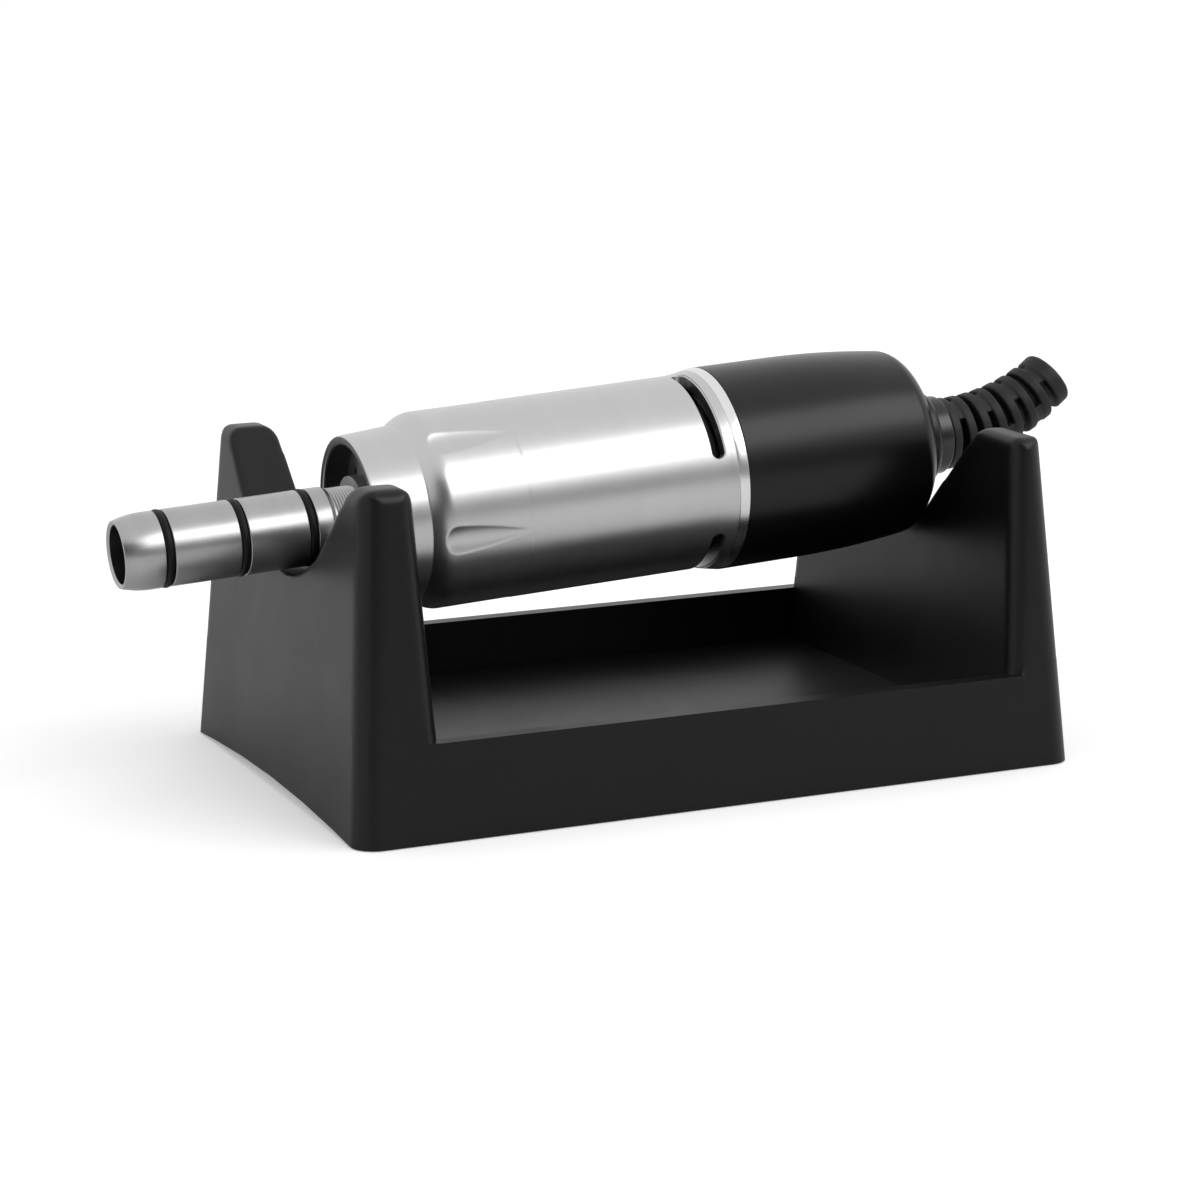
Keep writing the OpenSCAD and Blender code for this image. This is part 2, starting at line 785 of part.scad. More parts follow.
// Strain relief: rings joined by webs that change sides at each slot, on a gentle upward bend
module cable_boot() {
    end_share = 1 - 0.5 * boot_end_len / boot_len;
    color("black")
        on_axis()
            translate([0, 0, gland_end_s + boot_lift])
                difference() {
                    union() {
                        boot_core(cable_bore_r + boot_liner, 0);
                        for (k = [0:boot_slots - 1])
                            boot_ring((k + 0.5 * boot_ring_share) / boot_levels, boot_ring_len, boot_edge);
                        boot_ring(end_share, boot_end_len, 3 * boot_edge);
                        for (k = [0:boot_slots - 1])
                            boot_webs((k + 0.5 + 0.5 * boot_ring_share) / boot_levels, boot_web_turns[k % 2]);
                    }
                    boot_core(cable_bore_r, 2);
                    boot_at(end_share)
                        translate([0, 0, -boot_end_len / 2])
                            cylinder(h = boot_end_len + cut, r = cable_bore_r + boot_bore_ease);
                }
}

// Steel can that holds the magnets and closes round the front bearing's boss
module motor_can() {
    color("darkgray")
        on_axis()
            union() {
                tube(can_front_s, can_end_s - can_front_s, can_r, can_inner_r);
                tube(can_front_s, can_wall, can_r, bearing_r + bearing_boss_wall + seat_gap);
            }
}

// Two arc magnets inside the can
module field_magnets() {
    color("slategray")
        on_axis()
            for (side = [0, 180])
                rotate([0, 0, side + 90 - magnet_sweep / 2])
                    translate([0, 0, core_s - magnet_overhang])
                        rotate_extrude(angle = magnet_sweep)
                            translate([magnet_inner_r, 0])
                                square([magnet_t, core_len + 2 * magnet_overhang]);
}

// Insulating holder: ring inside the hood, two brush guides and the rear bearing's housing
module brush_holder() {
    hub_r = bearing_r + holder_wall;
    guide_w = brush_w + 2 * (brush_tube_wall + brush_gap);
    guide_h = brush_h + 2 * (brush_tube_wall + brush_gap);
    holder_len = holder_end_s - holder_s;
    housing_len = holder_end_s - rear_bearing_s + holder_lead;
    color("saddlebrown")
        on_axis()
            difference() {
                union() {
                    tube(holder_s, holder_len, holder_r, holder_r - holder_wall);
                    for (side = [0, 180])
                        rotate([0, 0, side])
                            translate([holder_clear_r, -guide_w / 2, brush_s - guide_h / 2])
                                cube([holder_r - holder_wall / 2 - holder_clear_r, guide_w, guide_h]);
                    translate([0, 0, rear_bearing_s - holder_lead])
                        cylinder(h = housing_len, r = hub_r);
                    for (side = [0:3])
                        rotate([0, 0, 45 + 90 * side])
                            translate([hub_r - cut, -holder_wall / 2, rear_bearing_s - holder_lead])
                                cube([holder_r - hub_r, holder_wall, housing_len]);
                }
                for (side = [0, 180])
                    rotate([0, 0, side])
                        translate([0, -brush_w / 2 - brush_gap, brush_s - brush_h / 2 - brush_gap])
                            cube([holder_r + cut, brush_w + 2 * brush_gap, brush_h + 2 * brush_gap]);
                translate([0, 0, rear_bearing_s - holder_lead - cut])
                    cylinder(h = holder_lead + cut + bearing_w + seat_gap, r = bearing_r + seat_gap);
                translate([0, 0, rear_bearing_s])
                    cylinder(h = holder_len, r = bearing_r - race_wall);
            }
}

// Two carbon brushes on opposite sides of the commutator
module carbon_brushes() {
    color("dimgray")
        on_axis()
            for (side = [0, 180])
                rotate([0, 0, side])
                    difference() {
                        translate([commutator_r / 2, -brush_w / 2, brush_s - brush_h / 2])
                            cube([commutator_r / 2 + brush_gap + brush_len, brush_w, brush_h]);
                        translate([0, 0, brush_s - brush_h])
                            cylinder(h = 2 * brush_h, r = commutator_r + brush_gap);
                    }
}

// Coil spring behind each brush
module brush_springs() {
    color("gold")
        on_axis()
            for (side = [0, 180])
                rotate([0, 0, side])
                    translate([brush_foot_r + brush_spring_wire_d / 2 + seat_gap, 0, brush_s])
                        rotate([0, 90, 0])
                            coil(
                                brush_spring_track_r, brush_spring_rise, brush_spring_curls,
                                brush_spring_wire_d / 2
                            );
}

// Brass cap that closes each brush guide
module brush_caps() {
    color("goldenrod")
        on_axis()
            for (side = [0, 180])
                rotate([0, 0, side])
                    translate([cap_face_r, -brush_w / 2, brush_s - brush_h / 2])
                        cube([brush_cap_t - brush_gap, brush_w, brush_h]);
}

// Two flat tabs that the cable's wires are soldered to
module terminal_tabs() {
    color("goldenrod")
        on_axis()
            for (side = [0, 180])
                rotate([0, 0, side + 45])
                    translate([tab_track_r, -tab_w / 2, holder_end_s + seat_gap])
                        difference() {
                            cube([tab_t, tab_w, tab_len]);
                            translate([-cut, tab_w / 2, tab_len - tab_w / 2])
                                rotate([0, 90, 0])
                                    cylinder(h = tab_t + 2 * cut, d = tab_w / 2, $fn = 32);
                        }
}

// Outer or inner race of a ball bearing, with its groove
module race(s, r_out, r_in) {
    color("silver")
        on_axis()
            difference() {
                tube(s, bearing_w, r_out, r_in);
                translate([0, 0, s + bearing_w / 2])
                    rotate_extrude()
                        translate([pitch_r, 0])
                            circle(r = ball_r + ball_gap, $fn = 48);
            }
}

// The balls of one bearing
module balls(s) {
    color("white")
        on_axis()
            for (i = [0:ball_count - 1])
                rotate([0, 0, 360 * i / ball_count])
                    translate([pitch_r, 0, s + bearing_w / 2])
                        sphere(r = ball_r, $fn = 32);
}

// Cage that spaces the balls
module cage(s) {
    color("tan")
        on_axis()
            difference() {
                tube(s + (bearing_w - cage_w) / 2, cage_w, pitch_r + cage_half_t, pitch_r - cage_half_t);
                for (i = [0:ball_count - 1])
                    rotate([0, 0, 360 * i / ball_count])
                        translate([pitch_r - 2 * cage_half_t, 0, s + bearing_w / 2])
                            rotate([0, 90, 0])
                                cylinder(h = 4 * cage_half_t, r = ball_r + ball_gap, $fn = 32);
            }
}

// Shaft from the drive dog to the rear bearing, with the spring's collar
module motor_shaft() {
    color("lightgray")
        on_axis()
            difference() {
                union() {
                    translate([0, 0, shaft_front_s])
                        cylinder(h = shaft_end_s - shaft_front_s, r = shaft_r);
                    translate([0, 0, spring_seat_s])
                        cylinder(h = collar_len, r = collar_r);
                }
                translate([0, 0, pin_s])
                    rotate([90, 0, 0])
                        cylinder(h = 4 * shaft_r, r = pin_r + seat_gap, center = true, $fn = 32);
            }
}

// Slotted core of the armature
module armature_core() {
    color("gray")
        on_axis()
            translate([0, 0, core_s])
                linear_extrude(core_len)
                    difference() {
                        circle(r = core_r);
                        circle(r = shaft_r + seat_gap);
                        for (i = [0:core_slots - 1])
                            rotate(360 * i / core_slots)
                                union() {
                                    translate([slot_track_r, 0])
                                        circle(r = slot_hole_r, $fn = 32);
                                    translate([slot_track_r, -slot_mouth / 2])
                                        square([core_r, slot_mouth]);
                                }
                    }
}

// Copper in the slots and the coil heads at both ends of the core
module armature_windings() {
    color("chocolate")
        on_axis()
            union() {
                for (i = [0:core_slots - 1])
                    rotate([0, 0, 360 * i / core_slots])
                        translate([slot_track_r, 0, core_s - coil_r])
                            cylinder(h = core_len + 2 * coil_r, r = slot_hole_r - wire_gap, $fn = 32);
                for (s = [core_s - coil_r - wire_gap, core_end_s + coil_r + wire_gap])
                    translate([0, 0, s])
                        rotate_extrude()
                            translate([coil_track_r, 0])
                                circle(r = coil_r, $fn = 32);
            }
}

// Segmented commutator
module commutator() {
    color("peru")
        on_axis()
            difference() {
                tube(commutator_s, commutator_len, commutator_r, shaft_r + seat_gap);
                for (i = [0:core_slots - 1])
                    rotate([0, 0, 360 * i / core_slots])
                        translate([commutator_r - segment_depth, -segment_gap / 2, commutator_s - cut])
                            cube([segment_depth + cut, segment_gap, commutator_len + 2 * cut]);
            }
}

// Radial fan that blows out through the vents
module cooling_fan() {
    blade_len = fan_r - fan_blade_in_r - fan_blade_inset;
    color("darkslategray")
        on_axis()
            difference() {
                union() {
                    translate([0, 0, fan_end_s - fan_plate])
                        cylinder(h = fan_plate, r = fan_r);
                    translate([0, 0, fan_s])
                        cylinder(h = fan_depth, r = fan_hub_r);
                    for (i = [0:fan_blades - 1])
                        rotate([0, 0, 360 * i / fan_blades])
                            translate([fan_blade_in_r, -fan_blade_t / 2, fan_s])
                                cube([blade_len, fan_blade_t, fan_depth - fan_plate / 2]);
                }
                translate([0, 0, fan_s - cut])
                    cylinder(h = fan_depth + 2 * cut, r = shaft_r + seat_gap);
            }
}

// Cross pin that turns the drive dog and lets it slide
module dog_pin() {
    color("silver")
        on_axis()
            translate([0, 0, pin_s])
                rotate([90, 0, 0])
                    cylinder(h = 2 * dog_r - free_gap, r = pin_r, center = true, $fn = 32);
}

// Spring-loaded dog that drives the handpiece: two claws in front, a long slot for the pin
module drive_dog() {
    color("lightgray")
        on_axis()
            difference() {
                union() {
                    translate([0, 0, dog_s])
                        cylinder(h = dog_edge_len, r1 = dog_r - dog_edge, r2 = dog_r);
                    translate([0, 0, dog_s + dog_edge_len])
                        cylinder(h = dog_len - dog_edge_len, r = dog_r);
                }
                translate([0, 0, dog_s + dog_nose_wall])
                    cylinder(h = dog_len, r = shaft_r + run_gap);
                translate([-2 * dog_r, -dog_slot_w / 2, dog_s - cut])
                    cube([4 * dog_r, dog_slot_w, dog_slot_depth + cut]);
                translate([-pin_r - run_gap, -2 * dog_r, pin_s - pin_r - run_gap - dog_travel])
                    cube([2 * (pin_r + run_gap), 4 * dog_r, dog_pin_slot]);
            }
}

// Compression spring between the dog and the shaft's collar
module dog_spring() {
    color("silver")
        on_axis()
            translate([0, 0, dog_end_s + spring_end_gap + spring_wire_d / 2])
                coil(spring_track_r, dog_spring_rise, spring_curls, spring_wire_d / 2);
}

// Points of a horn's top seen from the side, from the outer face over the top to the rim
function horn_points(side, inner_x, r) =
    let (
        zc = stand_h - r,
        outer = stand_len / 2 - zc * tan(end_draft) - r / cos(end_draft),
        inner = inner_x + (zc - rim_h) * tan(inner_draft) + r / cos(inner_draft)
    )
    concat(
        [[side * (stand_len / 2 + cut), zc + r * sin(end_draft)]],
        [
            for (i = [0:horn_steps])
                let (t = end_draft + (90 - end_draft) * i / horn_steps)
                [side * (outer + r * cos(t)), zc + r * sin(t)]
        ],
        [
            for (i = [0:horn_steps])
                let (t = 90 - (90 - inner_draft) * i / horn_steps)
                [side * (inner - r * cos(t)), zc + r * sin(t)]
        ],
        [[side * inner_x, rim_h]]
    );

// Points in the opposite order
function reversed(points) = [for (i = [len(points) - 1:-1:0]) points[i]];

// Points of the outer shoulder of a horn seen from the end
function shoulder_points(side) =
    let (
        zc = stand_h - horn_round,
        outer = stand_w / 2 - zc * tan(side_draft) - horn_round / cos(side_draft)
    )
    concat(
        [[side * (stand_w / 2 + cut), -cut]],
        [[side * (stand_w / 2 + cut), zc + horn_round * sin(side_draft)]],
        [
            for (i = [0:horn_steps])
                let (t = side_draft + (90 - side_draft) * i / horn_steps)
                [side * (outer + horn_round * cos(t)), zc + horn_round * sin(t)]
        ]
    );

// Points of one flank of a notch, from the top of the horn to just short of the floor's middle
function notch_points(side, floor_z, floor_r) =
    let (
        apex_z = floor_z - floor_r * (1 / cos(notch_flank) - 1),
        zc = stand_h - notch_edge_round,
        top_y = zc - apex_z + notch_edge_round / cos(notch_flank)
    )
    concat(
        [[side * top_y, stand_h + cut]],
        [
            for (i = [0:horn_steps])
                let (t = 90 + notch_flank * i / horn_steps)
                [side * (top_y + notch_edge_round * cos(t)), zc + notch_edge_round * sin(t)]
        ],
        [
            for (i = [0:horn_steps - 1])
                let (t = -notch_flank - notch_flank * i / horn_steps)
                [side * floor_r * cos(t), floor_z + floor_r + floor_r * sin(t)]
        ]
    );

// Outline of a notch seen from the end
function notch_outline(floor_z, floor_r) =
    concat(
        notch_points(-1, floor_z, floor_r),
        [[0, floor_z]],
        reversed(notch_points(1, floor_z, floor_r))
    );

// Carries an outline drawn in X and Z across the whole width
module across(width) {
    translate([0, width / 2, 0])
        rotate([90, 0, 0])
            linear_extrude(width)
                children();
}

// Carries an outline drawn in Y and Z along X
module along(x, length) {
    translate([x, 0, 0])
        rotate([90, 0, 90])
            linear_extrude(length)
                children();
}

// Outer form of the stand: leaning walls with rounded corners
module stand_envelope() {
    top = stand_h + cut;
    scales = [1 - 2 * top * tan(end_draft) / stand_len, 1 - 2 * top * tan(side_draft) / stand_w];
    linear_extrude(top, scale = scales, slices = 1)
        offset(r = corner_round, $fn = 48)
            square([stand_len - 2 * corner_round, stand_w - 2 * corner_round], center = true);
}

// Hollow tray between the posts
module tray_pocket() {
    drop = (rim_h - floor_h) * tan(inner_draft);
    across(stand_w - 2 * rim_h * tan(side_draft) - 2 * stand_wall)
        polygon([
            [-front_in_x + drop, floor_h], [rear_in_x - drop, floor_h],
            [rear_in_x, rim_h], [rear_in_x, rim_h + cut],
            [-front_in_x, rim_h + cut], [-front_in_x, rim_h]
        ]);
}

// Rounds the two upright corners of a post's inner face, above the tray's rim
module post_corners(side, inner_x) {
    centre = post_round - post_round_bite;
    intersection() {
        translate([-stand_len, -stand_w, rim_h])
            cube([2 * stand_len, 2 * stand_w, stand_h]);
        for (near = [-1, 1])
            translate([side * inner_x, near * (stand_w / 2 - rim_h * tan(side_draft)), rim_h])
                rotate([near * side_draft, side * inner_draft, 0])
                    mirror([side < 0 ? 1 : 0, 0, 0])
                        mirror([0, near > 0 ? 1 : 0, 0])
                            translate([0, 0, -cut])
                                linear_extrude(stand_h)
                                    difference() {
                                        translate([-cut, -cut])
                                            square(centre + cut);
                                        translate([centre, centre])
                                            circle(r = post_round);
                                    }
    }
}

// Hollow under the tray and up into the posts, open towards the desk
module underside() {
    half = stand_len / 2 - stand_wall;
    wide = stand_w / 2 - stand_wall;
    rear_h = post_cavity_h - (front_notch_h - rear_notch_h);
    intersection() {
        across(stand_w)
            polygon([
                [-half, -cut], [-half + post_cavity_h * tan(end_draft), post_cavity_h],
                [-front_in_x - stand_wall - (post_cavity_h - rim_h) * tan(inner_draft), post_cavity_h],
                [-front_in_x - stand_wall, under_h], [rear_in_x + stand_wall, under_h],
                [rear_in_x + stand_wall + (rear_h - rim_h) * tan(inner_draft), rear_h],
                [half - rear_h * tan(end_draft), rear_h], [half, -cut]
            ]);
        along(-stand_len, 2 * stand_len)
            polygon([
                [-wide, -2 * cut], [wide, -2 * cut],
                [wide - stand_h * tan(side_draft), stand_h], [-wide + stand_h * tan(side_draft), stand_h]
            ]);
    }
}

// Desk stand: a tray between two notched posts, moulded in one piece
module stand_body() {
    arch_half = stand_w / 2 - stand_wall;
    arch_r = (arch_half * arch_half + arch_rise * arch_rise) / (2 * arch_rise);
    color("dimgray")
        translate([whole_shift, 0, 0])
            difference() {
                intersection() {
                    stand_envelope();
                    across(2 * stand_w)
                        polygon(concat(
                            [[-stand_len / 2 - cut, -cut]],
                            horn_points(-1, front_in_x, horn_round),
                            reversed(horn_points(1, rear_in_x, rear_horn_round)),
                            [[stand_len / 2 + cut, -cut]]
                        ));
                    along(-stand_len, 2 * stand_len)
                        polygon(concat(shoulder_points(-1), reversed(shoulder_points(1))));
                }
                along(-stand_len, stand_len)
                    polygon(notch_outline(front_notch_h, front_notch_round));
                along(0, stand_len)
                    polygon(notch_outline(rear_notch_h, rear_notch_round));
                tray_pocket();
                post_corners(-1, front_in_x);
                post_corners(1, rear_in_x);
                underside();
                translate([-stand_len, 0, arch_rise - arch_r])
                    rotate([0, 90, 0])
                        cylinder(h = 2 * stand_len, r = arch_r, $fn = 360);
            }
}

echo(dog_spring_gap = curl_gap(spring_track_r, dog_spring_rise, spring_curls, spring_wire_d / 2));
echo(brush_spring_gap = curl_gap(
    brush_spring_track_r, brush_spring_rise, brush_spring_curls, brush_spring_wire_d / 2
));

stand_body();
nose_tube();
o_ring(ring_offsets[0]);  // o_ring_front
o_ring(ring_offsets[1]);  // o_ring_middle
o_ring(ring_offsets[2]);  // o_ring_rear
front_flange();
grip_sleeve();
rear_ring();
rear_hood();
gland_boss();
gland_nut();
gland_locknut();
cable_boot();
motor_can();
field_magnets();
brush_holder();
carbon_brushes();
brush_springs();
brush_caps();
terminal_tabs();
race(front_bearing_s, bearing_r, outer_race_r);  // front_bearing_outer
race(front_bearing_s, inner_race_r, inner_seat_r);  // front_bearing_inner
balls(front_bearing_s);  // front_bearing_balls
cage(front_bearing_s);  // front_bearing_cage
race(rear_bearing_s, bearing_r, outer_race_r);  // rear_bearing_outer
race(rear_bearing_s, inner_race_r, inner_seat_r);  // rear_bearing_inner
balls(rear_bearing_s);  // rear_bearing_balls
cage(rear_bearing_s);  // rear_bearing_cage
motor_shaft();
armature_core();
armature_windings();
commutator();
cooling_fan();
dog_pin();
drive_dog();
dog_spring();
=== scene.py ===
import json
import math

import bmesh
import bpy
from bpy.props import FloatProperty, FloatVectorProperty, IntProperty, PointerProperty
from mathutils import Matrix, Vector


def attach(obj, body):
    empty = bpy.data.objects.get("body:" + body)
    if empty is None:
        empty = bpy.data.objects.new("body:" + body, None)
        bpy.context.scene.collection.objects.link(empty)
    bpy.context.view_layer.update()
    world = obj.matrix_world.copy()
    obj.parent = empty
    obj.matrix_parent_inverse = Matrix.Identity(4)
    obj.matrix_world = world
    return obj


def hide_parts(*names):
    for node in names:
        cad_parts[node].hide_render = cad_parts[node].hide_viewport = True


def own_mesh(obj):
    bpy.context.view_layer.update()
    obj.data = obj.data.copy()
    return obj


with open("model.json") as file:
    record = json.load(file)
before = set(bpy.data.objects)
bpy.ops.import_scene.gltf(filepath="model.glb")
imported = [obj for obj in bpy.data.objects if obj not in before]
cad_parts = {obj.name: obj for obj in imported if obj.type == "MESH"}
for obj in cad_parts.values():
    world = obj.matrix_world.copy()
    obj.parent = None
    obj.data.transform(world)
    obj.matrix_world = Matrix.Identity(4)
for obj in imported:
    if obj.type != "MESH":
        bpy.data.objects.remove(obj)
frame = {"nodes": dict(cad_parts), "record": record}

bl_info = {
    "name": "Dental Micromotor",
    "version": (1, 0, 0),
    "blender": (4, 5, 0),
    "location": "View3D > Sidebar > Micromotor",
    "description": "Builds a dental micromotor on its desk stand over the packed frame",
    "category": "Object",
}

MM = 0.001
WELD = 1e-7


def length(name, text, millimetres):
    """A size that the sidebar shows in scene units."""
    return FloatProperty(
        name=name, description=text, default=millimetres * MM, unit="LENGTH", precision=5,
    )


def arc(name, text, degrees):
    """An angle, given in degrees."""
    return FloatProperty(
        name=name, description=text, default=math.radians(degrees), unit="ROTATION",
    )


def amount(name, text, value, low=0.0, high=1.0, unit="NONE"):
    """A plain number between two bounds."""
    return FloatProperty(name=name, description=text, default=value, min=low, max=high, unit=unit)


def whole(name, text, value, low, high):
    """A whole number between two bounds."""
    return IntProperty(name=name, description=text, default=value, min=low, max=high)


def colour(name, text, shade):
    """A linear colour that the sidebar shows as a swatch."""
    return FloatVectorProperty(
        name=name, description=text, default=shade, subtype="COLOR", size=3, min=0, max=1,
    )


class AxisSettings(bpy.types.PropertyGroup):
    """Where the motor lies in its stand."""
    height: length("Axis height", "Height of the motor's axis over the middle of the stand", 32.872)
    shift: length("Stand middle", "Place along X of the middle of the stand", 1.056)
    tilt: arc("Axis tilt", "Rise of the motor towards its cable", 3.35)
    tip: length("Nose tip", "Station of the nose's tip along the axis", -63.3)
    clock: arc("Clock angle", "Turn of the flutes and vents above the viewer's side", 52.5)


class NoseSettings(bpy.types.PropertyGroup):
    """The ringed nose."""
    radius: length("Nose radius", "Radius of the plain nose", 4.45)
    bore: length("Bore radius", "Radius of the bore behind the mouth", 3.1)
    mouth: length("Mouth radius", "Radius of the wider bore at the mouth", 3.4)
    cord: length("Ring cord", "Cord thickness of a sealing ring", 0.9)
    squeeze: amount("Ring squeeze", "Width of a squeezed ring over its cord", 1.15, 1, 2)
    edge: length("Groove edge", "Softness of the grooves' edges", 0.12)
    root: length("Root radius", "Radius of the threaded root", 4.15)
    pitch: length("Thread pitch", "Pitch of the fine thread on the root", 0.35)


class GripSettings(bpy.types.PropertyGroup):
    """The satin grip sleeve and the bright ring behind it."""
    neck: length("Neck radius", "Radius of the neck at its mouth", 9.95)
    front: length("Front radius", "Radius of the grip behind the shoulder", 11.65)
    rear: length("Rear radius", "Radius of the grip at its rear end", 11.8)
    seam: length("Seam radius", "Radius at the joint between grip and ring", 12.16)
    ring: length("Ring radius", "Radius of the bright ring at its rear edge", 12.4)
    bore: length("Grip bore", "Radius inside the grip", 10.4)
    flutes: whole("Flutes", "Thumb flutes round the shoulder", 6, 3, 8)
    flute_width: length("Flute width", "Width of a flute at its blunt end", 3.4)
    flute_depth: length("Flute depth", "Depth of a flute at its blunt end", 0.5)
    flute_length: length("Flute length", "Length of a flute behind its widest place", 9.6)
    flute_edge: amount("Flute edge", "Softness of a flute's edge", 0.16, 0.02, 1)
    vents: whole("Vents", "Vents round the rear of the grip", 3, 1, 4)
    vent_width: length("Vent width", "Width of a vent", 1.65)
    vent_span: arc("Vent span", "Angle that a vent spans", 73)
    vent_turn: arc("Vent turn", "Turn of the vents past the flutes", 1.2)


class HoodSettings(bpy.types.PropertyGroup):
    """The rear hood, the gland and the boot."""
    radius: length("Hood radius", "Radius of the straight part of the hood", 12.375)
    taper: length("Hood taper", "Loss of radius before the dome", 0.9)
    dome_length: length("Dome length", "Length of the dome at the rear", 3.95)
    dome_rise: length("Dome rise", "Height of the dome at the rear", 8.0)
    boss: length("Boss radius", "Radius of the boss behind the hood", 6.2)
    gland: length("Gland radius", "Radius of the gland's head", 4.9)
    boot_root: length("Boot root", "Radius of the boot at the gland", 4.55)
    boot_end: length("Boot end", "Radius of the boot at its end", 3.55)
    boot_length: length("Boot length", "Length of the boot along its curve", 17.9)
    boot_bend: arc("Boot bend", "Upward bend of the boot", 37)
    boot_slots: whole("Boot slots", "Slots along the boot", 7, 3, 9)


class StandSettings(bpy.types.PropertyGroup):
    """The moulded desk stand."""
    long: length("Length", "Length at the desk", 91.1945)
    wide: length("Width", "Width at the desk", 59.9)
    end_draft: arc("End draft", "Lean of the ends", 4)
    side_draft: arc("Side draft", "Lean of the long sides", 5.75)
    corner: length("Corner rounding", "Rounding of the upright outer corners", 3)
    facets: whole("Corner facets", "Facets of an upright corner", 12, 3, 48)
    edge: length("Edge rounding", "Rounding of the lower edges", 0.3)
    posts: length("Post foot", "Height above which the posts are soft forms", 12.4)
    grain: length("Post mesh", "Size of the posts' mesh", 0.28)
    soften: whole("Softening", "Passes that soften the posts' edges", 14, 0, 60)


class FinishSettings(bpy.types.PropertyGroup):
    """Colours of the visible finishes."""
    grip: colour("Grip", "Satin blasted aluminium", (0.53, 0.53, 0.535))
    nose: colour("Nose", "Fine turned steel", (0.4, 0.4, 0.403))
    ring: colour("Ring", "Bright turned ring", (0.74, 0.74, 0.745))
    hood: colour("Hood", "Satin black plastic", (0.0018, 0.0018, 0.002))
    stand: colour("Stand", "Satin dark grey plastic", (0.0042, 0.0042, 0.0044))
    rubber: colour("Rubber", "Black rubber of the boot", (0.006, 0.006, 0.0062))


class StudioSettings(bpy.types.PropertyGroup):
    """Floor, lamps and camera."""
    floor: colour("Floor", "Pale floor", (0.82, 0.82, 0.82))
    strip_power: amount("Strip power", "Power of the long soft lamp", 5.6, 0, 1000, "POWER")
    card: amount("Card", "Grey of the card in front of the object", 0.3)
    flag: amount("Flag", "Grey of the dark flag on the left", 0.05)
    floor_lift: amount("Floor lift", "Glow of the floor towards the camera, over its shadow", 0.3)
    room: amount("Room light", "Strength of the light from all round", 0.85, 0, 10)
    lens: amount("Lens", "Focal length on a 36 mm sensor", 97.514, 1, 1000)


class MicromotorSettings(bpy.types.PropertyGroup):
    """All settings of the micromotor."""
    axis: PointerProperty(type=AxisSettings)
    nose: PointerProperty(type=NoseSettings)
    grip: PointerProperty(type=GripSettings)
    hood: PointerProperty(type=HoodSettings)
    stand: PointerProperty(type=StandSettings)
    finish: PointerProperty(type=FinishSettings)
    studio: PointerProperty(type=StudioSettings)


# Places along the motor, in millimetres behind the tip of the nose

SEALS = (("o_ring_front", 5.2), ("o_ring_middle", 14.1), ("o_ring_rear", 22.3))
NECK_START = 28
SHOULDER_START = NECK_START + 6.3
GRIP_START = SHOULDER_START + 2.8
SEAM = GRIP_START + 35.7
HOOD_START = SEAM + 1.26
HOOD_END = HOOD_START + 28.3
BOSS_END = HOOD_END + 1.8
GLAND_END = BOSS_END + 2.2
HOLDER_START = HOOD_START - 0.76
CORE_END = HOLDER_START - 1.5 - 5.2 - 0.8 - 3.1


def station(settings, millimetres):
    """Place along the axis at a distance behind the tip of the nose."""
    return settings.axis.tip + millimetres * MM


def axis_matrix(settings):
    """Local Z runs along the motor towards the cable, local Y up and local X away from the viewer."""
    tilt = settings.axis.tilt
    along = Vector((math.cos(tilt), 0, math.sin(tilt)))
    up = Vector((-math.sin(tilt), 0, math.cos(tilt)))
    turn = Matrix((Vector((0, 1, 0)), up, along)).transposed()
    return Matrix.Translation((settings.axis.shift, 0, settings.axis.height)) @ turn.to_4x4()


def clock_matrix(angle):
    """Turns local X to a clock angle above the viewer's side."""
    return Matrix.Rotation(math.pi - angle, 4, "Z")


# Mesh tools

def all_of(bm):
    """Every vertex, edge and face of a bmesh."""
    return bm.verts[:] + bm.edges[:] + bm.faces[:]


def move(bm, matrix):
    """Moves all of a bmesh."""
    bmesh.ops.transform(bm, matrix=matrix, verts=bm.verts)


def make_piece(name, bm, matrix=None):
    """Turns a bmesh into an object whose place is in its mesh."""
    if matrix is not None:
        move(bm, matrix)
    mesh = bpy.data.meshes.new(name)
    bm.to_mesh(mesh)
    bm.free()
    piece = bpy.data.objects.new(name, mesh)
    bpy.context.scene.collection.objects.link(piece)
    return piece


def discard(piece):
    """Removes a helper piece and its mesh."""
    mesh = piece.data
    bpy.data.objects.remove(piece)
    bpy.data.meshes.remove(mesh)


def bake_modifiers(piece):
    """Applies the modifiers of a piece to its mesh."""
    depsgraph = bpy.context.evaluated_depsgraph_get()
    baked = bpy.data.meshes.new_from_object(piece.evaluated_get(depsgraph))
    old = piece.data
    piece.modifiers.clear()
    piece.data = baked
    name = old.name
    bpy.data.meshes.remove(old)
    baked.name = name


def smooth(piece, sharp_angle, weighted=True):
    """Shades a piece smooth, keeps its sharp edges and lets its large faces lead the normals."""
    for polygon in piece.data.polygons:
        polygon.use_smooth = True
    piece.data.set_sharp_from_angle(angle=math.radians(sharp_angle))
    if weighted:
        modifier = piece.modifiers.new("Weighted normals", "WEIGHTED_NORMAL")
        modifier.keep_sharp = True
        modifier.weight = 100
        bake_modifiers(piece)


